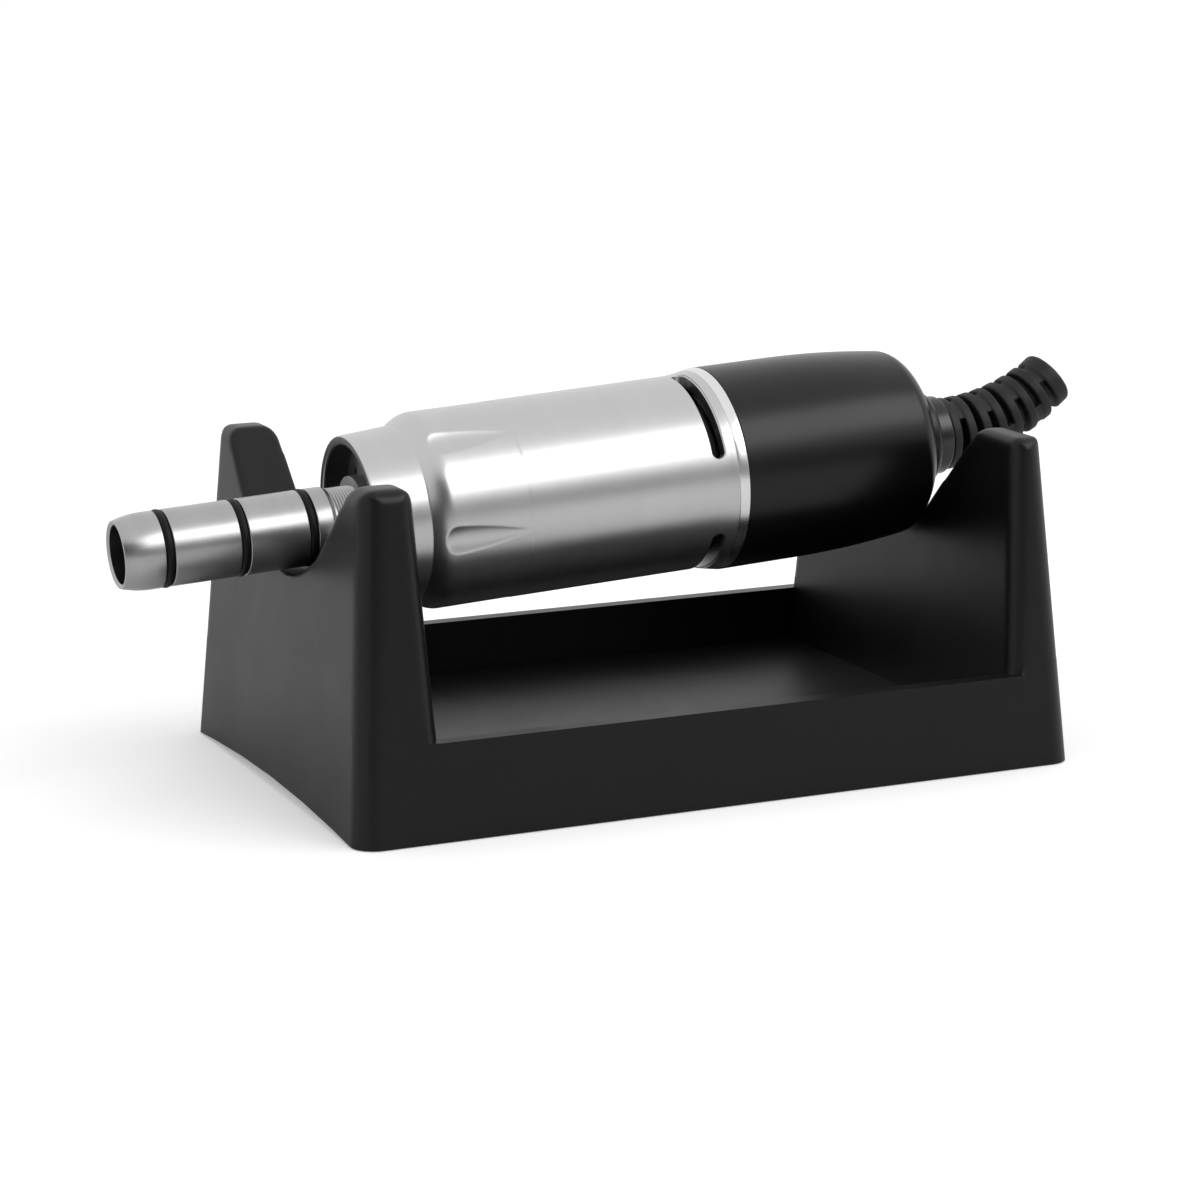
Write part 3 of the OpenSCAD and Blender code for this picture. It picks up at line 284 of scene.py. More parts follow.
def outline_bmesh(corners):
    """A closed outline in the XZ plane from (station, radius, rounding) corners, rounded by bevels."""
    bm = bmesh.new()
    verts = [bm.verts.new((radius, 0, along)) for along, radius, _ in corners]
    for i, vert in enumerate(verts):
        bm.edges.new((vert, verts[(i + 1) % len(verts)]))
    groups = {}
    for vert, (_, _, rounding) in zip(verts, corners):
        if rounding > 0:
            groups.setdefault(rounding, []).append(vert)
    for rounding, chosen in groups.items():
        bmesh.ops.bevel(
            bm, geom=chosen, offset=rounding, offset_type="OFFSET", segments=4, profile=0.5,
            affect="VERTICES", clamp_overlap=True, material=-1,
        )
    return bm


def spin(bm, steps, turn=math.tau, centre=(0, 0, 0), axis=(0, 0, 1), rise=0.0):
    """Spins all of a bmesh: a full turn closes on itself, a part turn or a helix keeps its ends."""
    closed = turn == math.tau
    bmesh.ops.spin(
        bm, geom=all_of(bm), cent=centre, axis=axis, dvec=(0, 0, rise), angle=turn, steps=steps,
        use_merge=closed, use_duplicate=False,
    )
    if closed:
        bmesh.ops.remove_doubles(bm, verts=bm.verts, dist=WELD)
    bmesh.ops.recalc_face_normals(bm, faces=bm.faces)


def spin_outline(corners, steps):
    """A closed ring or tube: the outline spun once round local Z."""
    bm = outline_bmesh(corners)
    spin(bm, steps)
    return bm


def add_part(bm, part):
    """Moves the geometry of one bmesh into another."""
    mesh = bpy.data.meshes.new("part")
    part.to_mesh(mesh)
    part.free()
    bm.from_mesh(mesh)
    bpy.data.meshes.remove(mesh)


def cut_away(piece, cutter):
    """Cuts one piece with another and removes the cutter."""
    modifier = piece.modifiers.new("Cut", "BOOLEAN")
    modifier.operation = "DIFFERENCE"
    modifier.solver = "EXACT"
    modifier.object = cutter
    bake_modifiers(piece)
    discard(cutter)


def one_skin(piece, voxel, passes):
    """Remeshes overlapping shells as one skin and softens it."""
    remesh = piece.modifiers.new("One skin", "REMESH")
    remesh.mode = "VOXEL"
    remesh.voxel_size = voxel
    soft = piece.modifiers.new("Soft edges", "SMOOTH")
    soft.factor = 0.5
    soft.iterations = passes
    bake_modifiers(piece)


def dress(piece, settings, body, node, slot):
    """Gives a piece its finish, its body and the node that it replaces."""
    piece.data.materials.clear()
    piece.data.materials.append(slot_material(settings, slot))
    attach(piece, body)
    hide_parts(node)


def turned_piece(name, corners, settings, steps, sharp_angle, node, slot):
    """A turned piece of the motor's case, smoothed and dressed."""
    piece = make_piece(name, spin_outline(corners, steps), axis_matrix(settings))
    smooth(piece, sharp_angle)
    dress(piece, settings, "motor_case", node, slot)
    return piece


def paint_bore_shade(piece, settings, start, name, grey, end_face=0.0):
    """Paints shade into a bore as a darker metal on the faces behind a station that look at the axis.

    The end face takes it too, within a radius.
    """
    inward, forward = -0.3, -0.95
    # painted shade: a darker metal for the bore's inner faces
    piece.data.materials.append(machined_metal(name, (grey, grey, grey), 0.35, 0.5, 0.8, 0.2))
    place = axis_matrix(settings).inverted()
    turn = place.to_3x3()
    for polygon in piece.data.polygons:
        middle = place @ polygon.center
        normal = turn @ polygon.normal
        out = middle.to_2d().normalized()
        looks_in = middle.z > start and normal.to_2d().dot(out) < inward
        if looks_in or (normal.z < forward and middle.to_2d().length < end_face):
            polygon.material_index = 1


# Shader groups

def feed(tree, node, values):
    """Fills the inputs of a node: a socket is linked, and anything else is written."""
    for name, value in values.items():
        if isinstance(value, bpy.types.NodeSocket):
            tree.links.new(value, node.inputs[name])
        else:
            node.inputs[name].default_value = value


def new_node(tree, kind, values, **options):
    """Adds a shader node with its options and fills its inputs."""
    node = tree.nodes.new("ShaderNode" + kind)
    for name, value in options.items():
        setattr(node, name, value)
    feed(tree, node, values)
    return node


def new_group(name, inputs, outputs):
    """An empty shader node group with named number sockets, and its entry and exit nodes."""
    tree = bpy.data.node_groups.new(name, "ShaderNodeTree")
    for socket, value in inputs.items():
        made = tree.interface.new_socket(name=socket, in_out="INPUT", socket_type="NodeSocketFloat")
        made.default_value = value
    for socket in outputs:
        tree.interface.new_socket(name=socket, in_out="OUTPUT", socket_type="NodeSocketFloat")
    return tree, tree.nodes.new("NodeGroupInput"), tree.nodes.new("NodeGroupOutput")


def surface_grain_group():
    """Fine grain of a blasted or moulded surface, with slow handling marks over it."""
    known = bpy.data.node_groups.get("Surface grain")
    if known:
        return known
    tree, entry, leave = new_group(
        "Surface grain", {"Grain scale": 3000.0, "Mark scale": 60.0, "Low": 0.3, "High": 0.4},
        ("Height", "Roughness", "Tone"),
    )
    place = new_node(tree, "TexCoord", {}).outputs["Object"]
    grain = new_node(tree, "TexNoise", {
        "Vector": place, "Scale": entry.outputs["Grain scale"], "Detail": 3.0,
    })
    marks = new_node(tree, "TexNoise", {
        "Vector": place, "Scale": entry.outputs["Mark scale"], "Detail": 5.0, "Distortion": 0.6,
    })
    spread = new_node(tree, "MapRange", {
        "Value": marks.outputs["Fac"], "From Min": 0.3, "From Max": 0.7,
        "To Min": entry.outputs["Low"], "To Max": entry.outputs["High"],
    })
    feed(tree, leave, {
        "Height": grain.outputs["Fac"], "Roughness": spread.outputs["Result"],
        "Tone": marks.outputs["Fac"],
    })
    return tree


def turned_lines_group():
    """Fine rings that a lathe leaves round the motor's axis."""
    known = bpy.data.node_groups.get("Turned lines")
    if known:
        return known
    tree, entry, leave = new_group("Turned lines", {"Line scale": 9000.0}, ("Height", "Tone"))
    turned = new_node(tree, "Mapping", {
        "Vector": new_node(tree, "TexCoord", {}).outputs["Object"],
        "Rotation": (0, bpy.context.scene.micromotor.axis.tilt, 0),
    })
    along = new_node(tree, "SeparateXYZ", {"Vector": turned.outputs["Vector"]}).outputs["X"]
    lines = new_node(tree, "TexNoise", {
        "W": along, "Scale": entry.outputs["Line scale"], "Detail": 4.0, "Roughness": 0.7,
    }, noise_dimensions="1D")
    wide = new_node(tree, "TexNoise", {
        "W": along, "Scale": 420.0, "Detail": 2.0,
    }, noise_dimensions="1D")
    feed(tree, leave, {"Height": lines.outputs["Fac"], "Tone": wide.outputs["Fac"]})
    return tree


def place_group(tree, group, values):
    """Puts a shader group in a material with its own values."""
    node = tree.nodes.new("ShaderNodeGroup")
    node.node_tree = group
    feed(tree, node, values)
    return node.outputs


def surface_grain(tree, grain_scale, mark_scale, low, high):
    """The grain of one material: its height, roughness and tone."""
    return place_group(tree, surface_grain_group(), {
        "Grain scale": grain_scale, "Mark scale": mark_scale, "Low": low, "High": high,
    })


def shaded_colour(tree, tone, shade, spread):
    """A colour that drifts a little with a tone between 0 and 1."""
    node = new_node(tree, "ValToRGB", {"Fac": tone})
    dark, light = node.color_ramp.elements
    dark.position, light.position = 0.3, 0.7
    dark.color = (*[c * (1 - spread) for c in shade], 1)
    light.color = (*[min(1.0, c * (1 + spread)) for c in shade], 1)
    return node.outputs["Color"]


def bump_chain(tree, layers):
    """Bump nodes in a row, from (height socket, distance in metres, strength) layers."""
    values = {}
    for height, distance, strength in layers:
        values.update({"Height": height, "Distance": distance, "Strength": strength})
        values["Normal"] = new_node(tree, "Bump", values).outputs["Normal"]
    return values["Normal"]


def new_material(name, values):
    """A node material with these plain values on its Principled shader."""
    material = bpy.data.materials.new(name)
    material.use_nodes = True
    tree = material.node_tree
    shader = tree.nodes["Principled BSDF"]
    feed(tree, shader, values)
    return material, tree, shader


def machined_metal(
        name, shade, low, high, lines=0.3, grain=0.1,
        grain_scale=5000.0, line_scale=9000.0, spread=0.04):
    """Turned or blasted metal: lathe lines, grain and slow handling marks."""
    material, tree, shader = new_material(name, {"Metallic": 1.0})
    surface = surface_grain(tree, grain_scale, 90.0, low, high)
    turned = place_group(tree, turned_lines_group(), {"Line scale": line_scale})
    feed(tree, shader, {
        "Base Color": shaded_colour(tree, turned["Tone"], shade, spread),
        "Roughness": surface["Roughness"],
        "Normal": bump_chain(tree, [
            (turned["Height"], 0.01 * MM, lines), (surface["Height"], 0.01 * MM, grain),
        ]),
    })
    return material


def moulded_plastic(name, shade, low, high, grain=0.25, grain_scale=2600.0, spread=0.1, specular=0.5):
    """Moulded plastic or rubber: fine spark texture and slow marks."""
    material, tree, shader = new_material(name, {"Specular IOR Level": specular})
    surface = surface_grain(tree, grain_scale, 70.0, low, high)
    feed(tree, shader, {
        "Base Color": shaded_colour(tree, surface["Tone"], shade, spread),
        "Roughness": surface["Roughness"],
        "Normal": bump_chain(tree, [(surface["Height"], 0.03 * MM, grain)]),
    })
    return material


def wound_copper(name, shade, low, high):
    """Enamelled wire laid side by side."""
    material, tree, shader = new_material(name, {"Metallic": 0.85})
    strands = new_node(tree, "TexWave", {
        "Vector": new_node(tree, "TexCoord", {}).outputs["Object"],
        "Scale": 1100.0, "Distortion": 1.5, "Detail": 1.0,
    }, bands_direction="DIAGONAL").outputs["Fac"]
    feed(tree, shader, {
        "Base Color": shaded_colour(tree, strands, shade, 0.35),
        "Roughness": surface_grain(tree, 1500.0, 200.0, low, high)["Roughness"],
        "Normal": bump_chain(tree, [(strands, 0.08 * MM, 0.8)]),
    })
    return material


def slot_material(settings, slot):
    """The finish of one material slot of the record."""
    name = "finish_" + slot
    known = bpy.data.materials.get(name)
    if known:
        return known
    metal, plastic, finish = machined_metal, moulded_plastic, settings.finish
    # metal: colour, low and high roughness, lines, grain, grain scale, line scale, spread
    # plastic: colour, low and high roughness, grain, grain scale, spread, specular level
    finishes = {
        "stand_plastic": (plastic, finish.stand, 0.32, 0.39, 0.25, 2200.0, 0.08, 0.26),
        "nose_steel": (metal, finish.nose, 0.29, 0.33, 0.07, 0.02, 5000.0, 9000.0, 0.03),
        "ring_rubber": (plastic, (0.002, 0.002, 0.002), 0.42, 0.55, 0.15, 3800.0, 0.15, 0.2),
        # painted light: the flange in the neck's recess is paler than its metal, where little lamp
        # light reaches
        "flange_alloy": (metal, (0.6, 0.6, 0.605), 0.3, 0.42, 0.4, 0.1),
        "grip_alloy": (metal, finish.grip, 0.29, 0.33, 0.02, 0.05, 7000.0, 9000.0, 0.015),
        "ring_alloy": (metal, finish.ring, 0.2, 0.24, 0.02, 0.01, 5000.0, 9000.0, 0.02),
        "hood_plastic": (plastic, finish.hood, 0.28, 0.32, 0.1, 4200.0, 0.12, 0.32),
        "gland_metal": (metal, (0.05, 0.05, 0.052), 0.22, 0.3, 0.1, 0.05),
        "boot_rubber": (plastic, finish.rubber, 0.5, 0.62, 0.3, 3000.0, 0.2, 0.35),
        "can_steel": (metal, (0.36, 0.36, 0.37), 0.34, 0.46, 0.4, 0.2),
        "magnet_ferrite": (plastic, (0.05, 0.05, 0.052), 0.6, 0.75, 0.5, 1800.0, 0.2),
        "holder_resin": (plastic, (0.16, 0.07, 0.03), 0.4, 0.55, 0.3, 1500.0, 0.3),
        "carbon": (plastic, (0.03, 0.03, 0.032), 0.45, 0.6, 0.4, 2400.0, 0.2),
        "brass": (metal, (0.72, 0.5, 0.2), 0.2, 0.32, 0.3, 0.1),
        "spring_steel": (metal, (0.5, 0.5, 0.51), 0.16, 0.24, 0.1, 0.1),
        "bearing_steel": (metal, (0.62, 0.62, 0.63), 0.08, 0.14, 0.15, 0.02),
        "cage_resin": (plastic, (0.4, 0.3, 0.16), 0.4, 0.5, 0.3, 2000.0, 0.2),
        "core_steel": (metal, (0.3, 0.3, 0.31), 0.3, 0.45, 1.0, 0.2, 4000.0, 2600.0, 0.2),
        "copper": (wound_copper, (0.5, 0.2, 0.07), 0.28, 0.42),
        "fan_plastic": (plastic, (0.03, 0.03, 0.031), 0.4, 0.5, 0.3, 2500.0, 0.15),
    }
    maker, *values = finishes[slot]
    return maker(name, *values)


# Outlines and shapes

def seal_middle(nose):
    """Distance of a seal's middle from the axis: it stands a little out of its groove."""
    return nose.radius + 0.08 * MM - nose.cord / 2


def nose_corners(nose, tip):
    """Outline of the nose: mouth, grooves, threaded root and bore."""
    chamfer, mouth_depth = 0.26 * MM, 2.5 * MM
    lead_length, lead_drop, lead_steps = 3.4 * MM, 0.56 * MM, 8
    groove_half, thread_depth = 0.525 * MM, 0.16 * MM
    corners = [
        (tip + mouth_depth, nose.mouth, 0), (tip + chamfer, nose.mouth, 0),
        (tip, nose.mouth + chamfer, 0.03 * MM),
    ]
    for i in range(lead_steps + 1):
        share = i / lead_steps
        drop = lead_drop * (1 - share) ** 2
        corners.append((tip + lead_length * share, nose.radius - drop, 0 if i else 0.07 * MM))
    floor = nose.radius + 0.08 * MM - nose.cord - 0.02 * MM
    for _, offset in SEALS:
        middle = tip + offset * MM
        corners += [
            (middle - groove_half, nose.radius, nose.edge), (middle - groove_half, floor, 0),
            (middle + groove_half, floor, 0), (middle + groove_half, nose.radius, nose.edge),
        ]
    root = tip + 25.25 * MM
    end = root + 6.4 * MM
    corners += [(root - 0.45 * MM, nose.radius, 0.1 * MM), (root, nose.root, 0)]
    for i in range(int((end - root - 0.3 * MM) / nose.pitch)):
        start = root + 0.2 * MM + i * nose.pitch
        corners += [(start, nose.root, 0), (start + nose.pitch / 2, nose.root - thread_depth, 0)]
    corners += [(end, nose.root, 0), (end, nose.bore, 0), (tip + mouth_depth, nose.bore, 0)]
    return corners


def grip_corners(settings):
    """Outline of the grip sleeve: neck, shoulder, barrel, flared rear edge and bore."""
    grip = settings.grip
    mouth, shoulder = station(settings, NECK_START), station(settings, SHOULDER_START)
    start, seam = station(settings, GRIP_START), station(settings, SEAM)
    step = shoulder + 0.6 * (start - shoulder)
    flare = seam - 1.8 * MM
    recess = 8.9 * MM
    neck_end = grip.neck + 0.43 * MM
    corners = [(mouth, recess, 0.3 * MM), (mouth, grip.neck, 0.2 * MM)]
    for i in range(19):
        share = i / 18
        radius = neck_end + (grip.front - neck_end) * math.sin(math.pi / 2 * share)
        corners.append((shoulder + (start - shoulder) * share, radius, 0))
    dense = [start + i * 0.16 * MM for i in range(1, 60)]
    coarse = [dense[-1] + (flare - dense[-1]) * i / 8 for i in range(1, 8)]
    for place in dense + coarse:
        share = (place - start) / (flare - start)
        corners.append((place, grip.front + (grip.rear - grip.front) * share, 0))
    corners += [
        (flare, grip.rear, 1.2 * MM), (seam, grip.seam, 0.05 * MM),
        (seam, grip.bore, 0), (step, grip.bore, 0), (step, recess, 0),
    ]
    return corners


def flute_depth(grip, across, along):
    """Depth of a flute at a place across its middle line and along it from its widest place."""
    blunt = grip.flute_width / 2
    if not -blunt < along < grip.flute_length:
        return 0.0
    share = along / grip.flute_length
    width = math.sqrt(1 - (along / blunt) ** 2) if along < 0 else 1 - share ** 1.7
    depth = width ** 2 if along < 0 else 1 - share
    inside = 1 - (across / (blunt * max(width, 0.02))) ** 2
    soft = grip.flute_edge
    if inside < soft:
        inside = max(0.0, inside + soft) ** 2 / (4 * soft)
    return grip.flute_depth * depth * inside


def press_flutes(bm, settings):
    """Presses the soft-edged teardrops into the shoulder of the sleeve."""
    grip = settings.grip
    start = station(settings, GRIP_START - 0.16 * (GRIP_START - SHOULDER_START))
    pitch = math.tau / grip.flutes
    for vert in bm.verts:
        radius = math.hypot(vert.co.x, vert.co.y)
        if radius < grip.neck or not -2 * grip.flute_width < vert.co.z - start < grip.flute_length:
            continue
        angle = math.pi - math.atan2(vert.co.y, vert.co.x) - settings.axis.clock
        angle = (angle + pitch / 2) % pitch - pitch / 2
        pressed = min(radius, grip.front - flute_depth(grip, angle * radius, vert.co.z - start))
        vert.co.x *= pressed / radius
        vert.co.y *= pressed / radius


def vent_cutters(settings):
    """The curved slots, with a fine chamfer, that are cut through the rear of the grip."""
    grip = settings.grip
    middle = station(settings, SEAM - 2.1)
    half = (grip.vent_span * grip.rear - grip.vent_width) / 2
    chamfer, steps = 0.12 * MM, 56
    outline = bmesh.new()
    ends = bmesh.ops.create_circle(outline, cap_ends=True, segments=48, radius=grip.vent_width / 2)
    for vert in ends["verts"]:
        vert.co.x += math.copysign(half, vert.co.x) if abs(vert.co.x) > 1e-9 else 0
    for i in range(1, steps):
        bmesh.ops.bisect_plane(
            outline, geom=all_of(outline), dist=1e-9,
            plane_co=(half * (2 * i / steps - 1), 0, 0), plane_no=(1, 0, 0),
        )
    levels = (
        (grip.bore - 0.6 * MM, 0.0), (grip.rear - 0.07 * MM, 0.0),
        (grip.rear + 0.05 * MM, chamfer), (grip.ring + 0.6 * MM, chamfer),
    )
    bm = bmesh.new()
    for i in range(grip.vents):
        turn = clock_matrix(settings.axis.clock + grip.vent_turn + math.tau * i / grip.vents)
        made = {vert: bm.verts.new(vert.co) for vert in outline.verts}
        faces = [bm.faces.new([made[vert] for vert in face.verts]) for face in outline.faces]
        edges = list(dict.fromkeys(edge for face in faces for edge in face.edges))
        every = [list(made.values())]
        top = bmesh.ops.duplicate(bm, geom=every[0] + edges + faces)["geom"]
        rim = [edge for edge in edges if edge.is_boundary]
        for _ in levels[1:]:
            moved = bmesh.ops.extrude_edge_only(bm, edges=rim)["geom"]
            every.append([item for item in moved if isinstance(item, bmesh.types.BMVert)])
            rim = [item for item in moved if isinstance(item, bmesh.types.BMEdge)]
        every[-1] += [item for item in top if isinstance(item, bmesh.types.BMVert)]
        for (radius, grow), group in zip(levels, every):
            for vert in group:
                along, across = vert.co.x, vert.co.y
                end = max(0.0, abs(along) - half)
                reach = math.hypot(end, across)
                if reach > 0.9 * grip.vent_width / 2:
                    scale = (reach + grow) / reach
                    along = math.copysign(min(abs(along), half) + end * scale, along)
                    across *= scale
                angle = along / grip.rear
                vert.co = turn @ Vector((
                    radius * math.cos(angle), radius * math.sin(angle), middle + across,
                ))
    outline.free()
    bmesh.ops.remove_doubles(bm, verts=bm.verts, dist=WELD)
    bmesh.ops.recalc_face_normals(bm, faces=bm.faces)
    return make_piece("vent_cutter", bm, axis_matrix(settings))


def hood_corners(settings):
    """Outline of the hood: barrel, taper and dome, with its wall."""
    hood = settings.hood
    start = station(settings, HOOD_START)
    back = station(settings, HOOD_END)
    taper_start = start + 10 * MM
    dome_start = back - hood.dome_length
    wall, passage = 1.1 * MM, 3.12 * MM
    foot = hood.radius - hood.taper
    corners = [(start, hood.radius - wall, 0), (start, hood.radius, 0.14 * MM)]
    for i in range(11):
        share = i / 10
        place = taper_start + (dome_start - taper_start) * share
        corners.append((place, hood.radius - hood.taper * share ** 2, 0))
    for i in range(1, 25):
        angle = math.pi / 2 * i / 24
        corners.append((
            dome_start + hood.dome_length * math.sin(angle),
            foot - hood.dome_rise + hood.dome_rise * math.cos(angle), 0,
        ))
    corners += [
        (back, passage, 0), (back - 3.2 * MM, passage, 0),
        (dome_start - 2 * MM, foot - wall, 0.6 * MM),
        (taper_start + 0.3 * (dome_start - taper_start), hood.radius - wall, 0),
    ]
    return corners


def boot_matrix(settings, share):
    """Place and direction at a share of the boot's curve."""
    hood = settings.hood
    curve = hood.boot_length / hood.boot_bend
    start = station(settings, GLAND_END + 0.12)
    bend = Matrix.Rotation(-hood.boot_bend * share, 4, "X")
    return (
        axis_matrix(settings) @ Matrix.Translation((0, curve, start)) @ bend
        @ Matrix.Translation((0, -curve, 0))
    )


def boot_radius(hood, share):
    """Radius of the boot at a share of its curve."""
    return hood.boot_root + (hood.boot_end - hood.boot_root) * share


def add_ring(bm, inner, outer, low, high, rounding, matrix):
    """Adds one closed ring with rounded outer edges."""
    part = spin_outline(
        [(low, inner, 0), (low, outer, rounding[0]), (high, outer, rounding[1]), (high, inner, 0)], 72,
    )
    move(part, matrix)
    add_part(bm, part)


def add_web(bm, inner, outer, half, turn, spread, matrix):
    """Adds one curved web between two rings."""
    plate = bmesh.new()
    bmesh.ops.create_grid(plate, x_segments=3, y_segments=3, size=0.5)
    move(plate, (
        Matrix.Translation(((inner + outer) / 2, 0, 0)) @ Matrix.Rotation(math.pi / 2, 4, "X")
        @ Matrix.Diagonal((outer - inner, 2 * half, 1, 1))
    ))
    move(plate, clock_matrix(turn) @ Matrix.Rotation(-spread, 4, "Z"))
    spin(plate, 10, 2 * spread)
    move(plate, matrix)
    add_part(bm, plate)


def boot_bmesh(settings):
    """Overlapping shells of the boot: its curved core, rings, webs and end collar."""
    hood = settings.hood
    bore, liner, edge = 2.1 * MM, 0.55 * MM, 0.2 * MM
    levels = hood.boot_slots + 1
    pitch = hood.boot_length / levels
    ring = 0.56 * pitch
    inner = bore + 0.3 * MM
    web = (pitch - ring) / 2 + 0.1 * MM
    bm = bmesh.new()
    core = bmesh.new()
    for radius in (bore, bore + liner):
        bmesh.ops.create_circle(core, cap_ends=False, segments=64, radius=radius)
    bmesh.ops.bridge_loops(core, edges=core.edges[:])
    spin(core, 48, hood.boot_bend, (0, hood.boot_length / hood.boot_bend, 0), (-1, 0, 0))
    move(core, boot_matrix(settings, 0))
    add_part(bm, core)
    for k in range(hood.boot_slots):
        share = (k + 0.28) / levels
        place = boot_matrix(settings, share)
        add_ring(bm, inner, boot_radius(hood, share), -ring / 2, ring / 2, (edge, edge), place)
        share = (k + 0.78) / levels
        radius = boot_radius(hood, share) - edge
        spread = math.asin(0.15 * 2 * hood.boot_root / (radius * 0.85))
        for side in (0, math.pi):
            turn = math.radians((55, 145)[k % 2]) + side
            add_web(bm, inner, radius, web, turn, spread, boot_matrix(settings, share))
    share = 1 - 0.5 * pitch / hood.boot_length
    add_ring(
        bm, bore + 0.05 * MM, boot_radius(hood, share), -pitch / 2, pitch / 2 - 0.14 * MM,
        (edge, 3 * edge), boot_matrix(settings, share),
    )
    return bm


def add_spring(bm, track, rise, curls, wire, matrix):
    """Adds a smooth helical spring whose first turn starts on local X."""
    lead = math.atan2(rise, math.tau * track * curls)
    start = (
        Matrix.Translation((track, 0, 0)) @ Matrix.Rotation(lead, 4, "X")
        @ Matrix.Rotation(math.pi / 2, 4, "X")
    )
    part = bmesh.new()
    bmesh.ops.create_circle(part, cap_ends=True, segments=14, radius=wire, matrix=start)
    steps = 32 * curls
    spin(part, steps, math.tau * curls, rise=rise / steps)
    move(part, matrix)
    add_part(bm, part)


def round_wire(segments, radius, centre, squeeze=1.0):
    """The round section of a ring, with its middle on local XZ."""
    bm = bmesh.new()
    bmesh.ops.create_circle(
        bm, cap_ends=False, segments=segments, radius=radius, matrix=(
            Matrix.Translation(centre) @ Matrix.Rotation(math.pi / 2, 4, "X")
            @ Matrix.Diagonal((1, squeeze, 1, 1))
        ),
    )
    return bm


def strand_offsets(rings):
    """Places of round strands packed in a hexagon, in strand diameters."""
    places = []
    for row in range(-rings, rings + 1):
        count = 2 * rings + 1 - abs(row)
        for i in range(count):
            places.append((i - (count - 1) / 2, row * math.sqrt(3) / 2))
    return places


def corner_offset(settings, point):
    """Reach of a point past the middle line of the nearest upright corner, as at the desk."""
    stand = settings.stand
    long_share = 1 - 2 * point.z * math.tan(stand.end_draft) / stand.long
    wide_share = 1 - 2 * point.z * math.tan(stand.side_draft) / stand.wide
    long = abs(point.x - settings.axis.shift) / long_share
    wide = abs(point.y) / wide_share
    return Vector((long - stand.long / 2 + stand.corner, wide - stand.wide / 2 + stand.corner))


def round_corners(bm, settings):
    """Divides the stand's upright outer corners finely and lays them on their true round form."""
    stand = settings.stand
    near, band = -0.01 * MM, 0.13 * MM
    for side_x, side_y in ((1, 1), (1, -1), (-1, 1), (-1, -1)):
        foot = Vector((
            side_x * (stand.long / 2 - stand.corner), side_y * (stand.wide / 2 - stand.corner), 0,
        ))
        rise = Vector((
            -2 * foot.x * math.tan(stand.end_draft) / stand.long,
            -2 * foot.y * math.tan(stand.side_draft) / stand.wide, 1,
        ))
        foot.x += settings.axis.shift
        for i in range(1, stand.facets):
            angle = math.pi / 2 * i / stand.facets
            across = Vector((side_x * math.cos(angle), side_y * math.sin(angle), 0))
            faces = [
                face for face in bm.faces
                if (face.calc_center_median() - foot).x * side_x > 0 and all(
                    min(corner_offset(settings, vert.co)) > near and vert.co.y * side_y > 0
                    for vert in face.verts
                )
            ]
            verts = list(dict.fromkeys(vert for face in faces for vert in face.verts))
            edges = list(dict.fromkeys(edge for face in faces for edge in face.edges))
            bmesh.ops.bisect_plane(
                bm, geom=verts + edges + faces, dist=WELD, plane_co=foot,
                plane_no=rise.cross(across).normalized(),
            )
    for vert in bm.verts:
        offset = corner_offset(settings, vert.co)
        if min(offset) > 0 and abs(offset.length - stand.corner) < band:
            moved = offset * (stand.corner / offset.length - 1)
            vert.co.x += math.copysign(moved.x, vert.co.x - settings.axis.shift)
            vert.co.y += math.copysign(moved.y, vert.co.y)


def cut_level(bm, height, below):
    """Cuts a form at a height and removes what is below it or above it."""
    bmesh.ops.bisect_plane(
        bm, geom=all_of(bm), dist=WELD, plane_co=(0, 0, height), plane_no=(0, 0, 1),
        clear_inner=below, clear_outer=not below,
    )


def skins(bm):
    """The connected skins of a form, as lists of faces."""
    found, seen = [], set()
    for start in bm.faces:
        if start in seen:
            continue
        seen.add(start)
        skin = [start]
        for face in skin:
            for edge in face.edges:
                for other in edge.link_faces:
                    if other not in seen:
                        seen.add(other)
                        skin.append(other)
        found.append(skin)
    return found


def skin_faces(bm, tall):
    """The faces of the skins that reach the posts' tops, or of the hollow ones that stay below."""
    found = []
    for skin in skins(bm):
        top = max(vert.co.z for face in skin for vert in face.verts)
        if (top > 30 * MM) == tall:
            found += skin
    return found


def soft_posts(settings, bm):
    """Two forms above the posts' foot: the outer skins, remeshed and softened, and the hollow."""
    stand = settings.stand
    posts = bm.copy()
    cut_level(posts, stand.posts - 1.2 * MM, below=True)
    bmesh.ops.delete(posts, geom=skin_faces(posts, tall=False), context="FACES")
    bmesh.ops.holes_fill(posts, edges=[edge for edge in posts.edges if edge.is_boundary], sides=0)
    bmesh.ops.recalc_face_normals(posts, faces=posts.faces)
    piece = make_piece("posts", posts)
    one_skin(piece, stand.grain, stand.soften)
    posts = bmesh.new()
    posts.from_mesh(piece.data)
    discard(piece)
    cut_level(posts, stand.posts, below=True)
    hollow = bm.copy()
    cut_level(hollow, stand.posts, below=True)
    bmesh.ops.delete(hollow, geom=skin_faces(hollow, tall=True), context="FACES")
    return posts, hollow


# Build steps

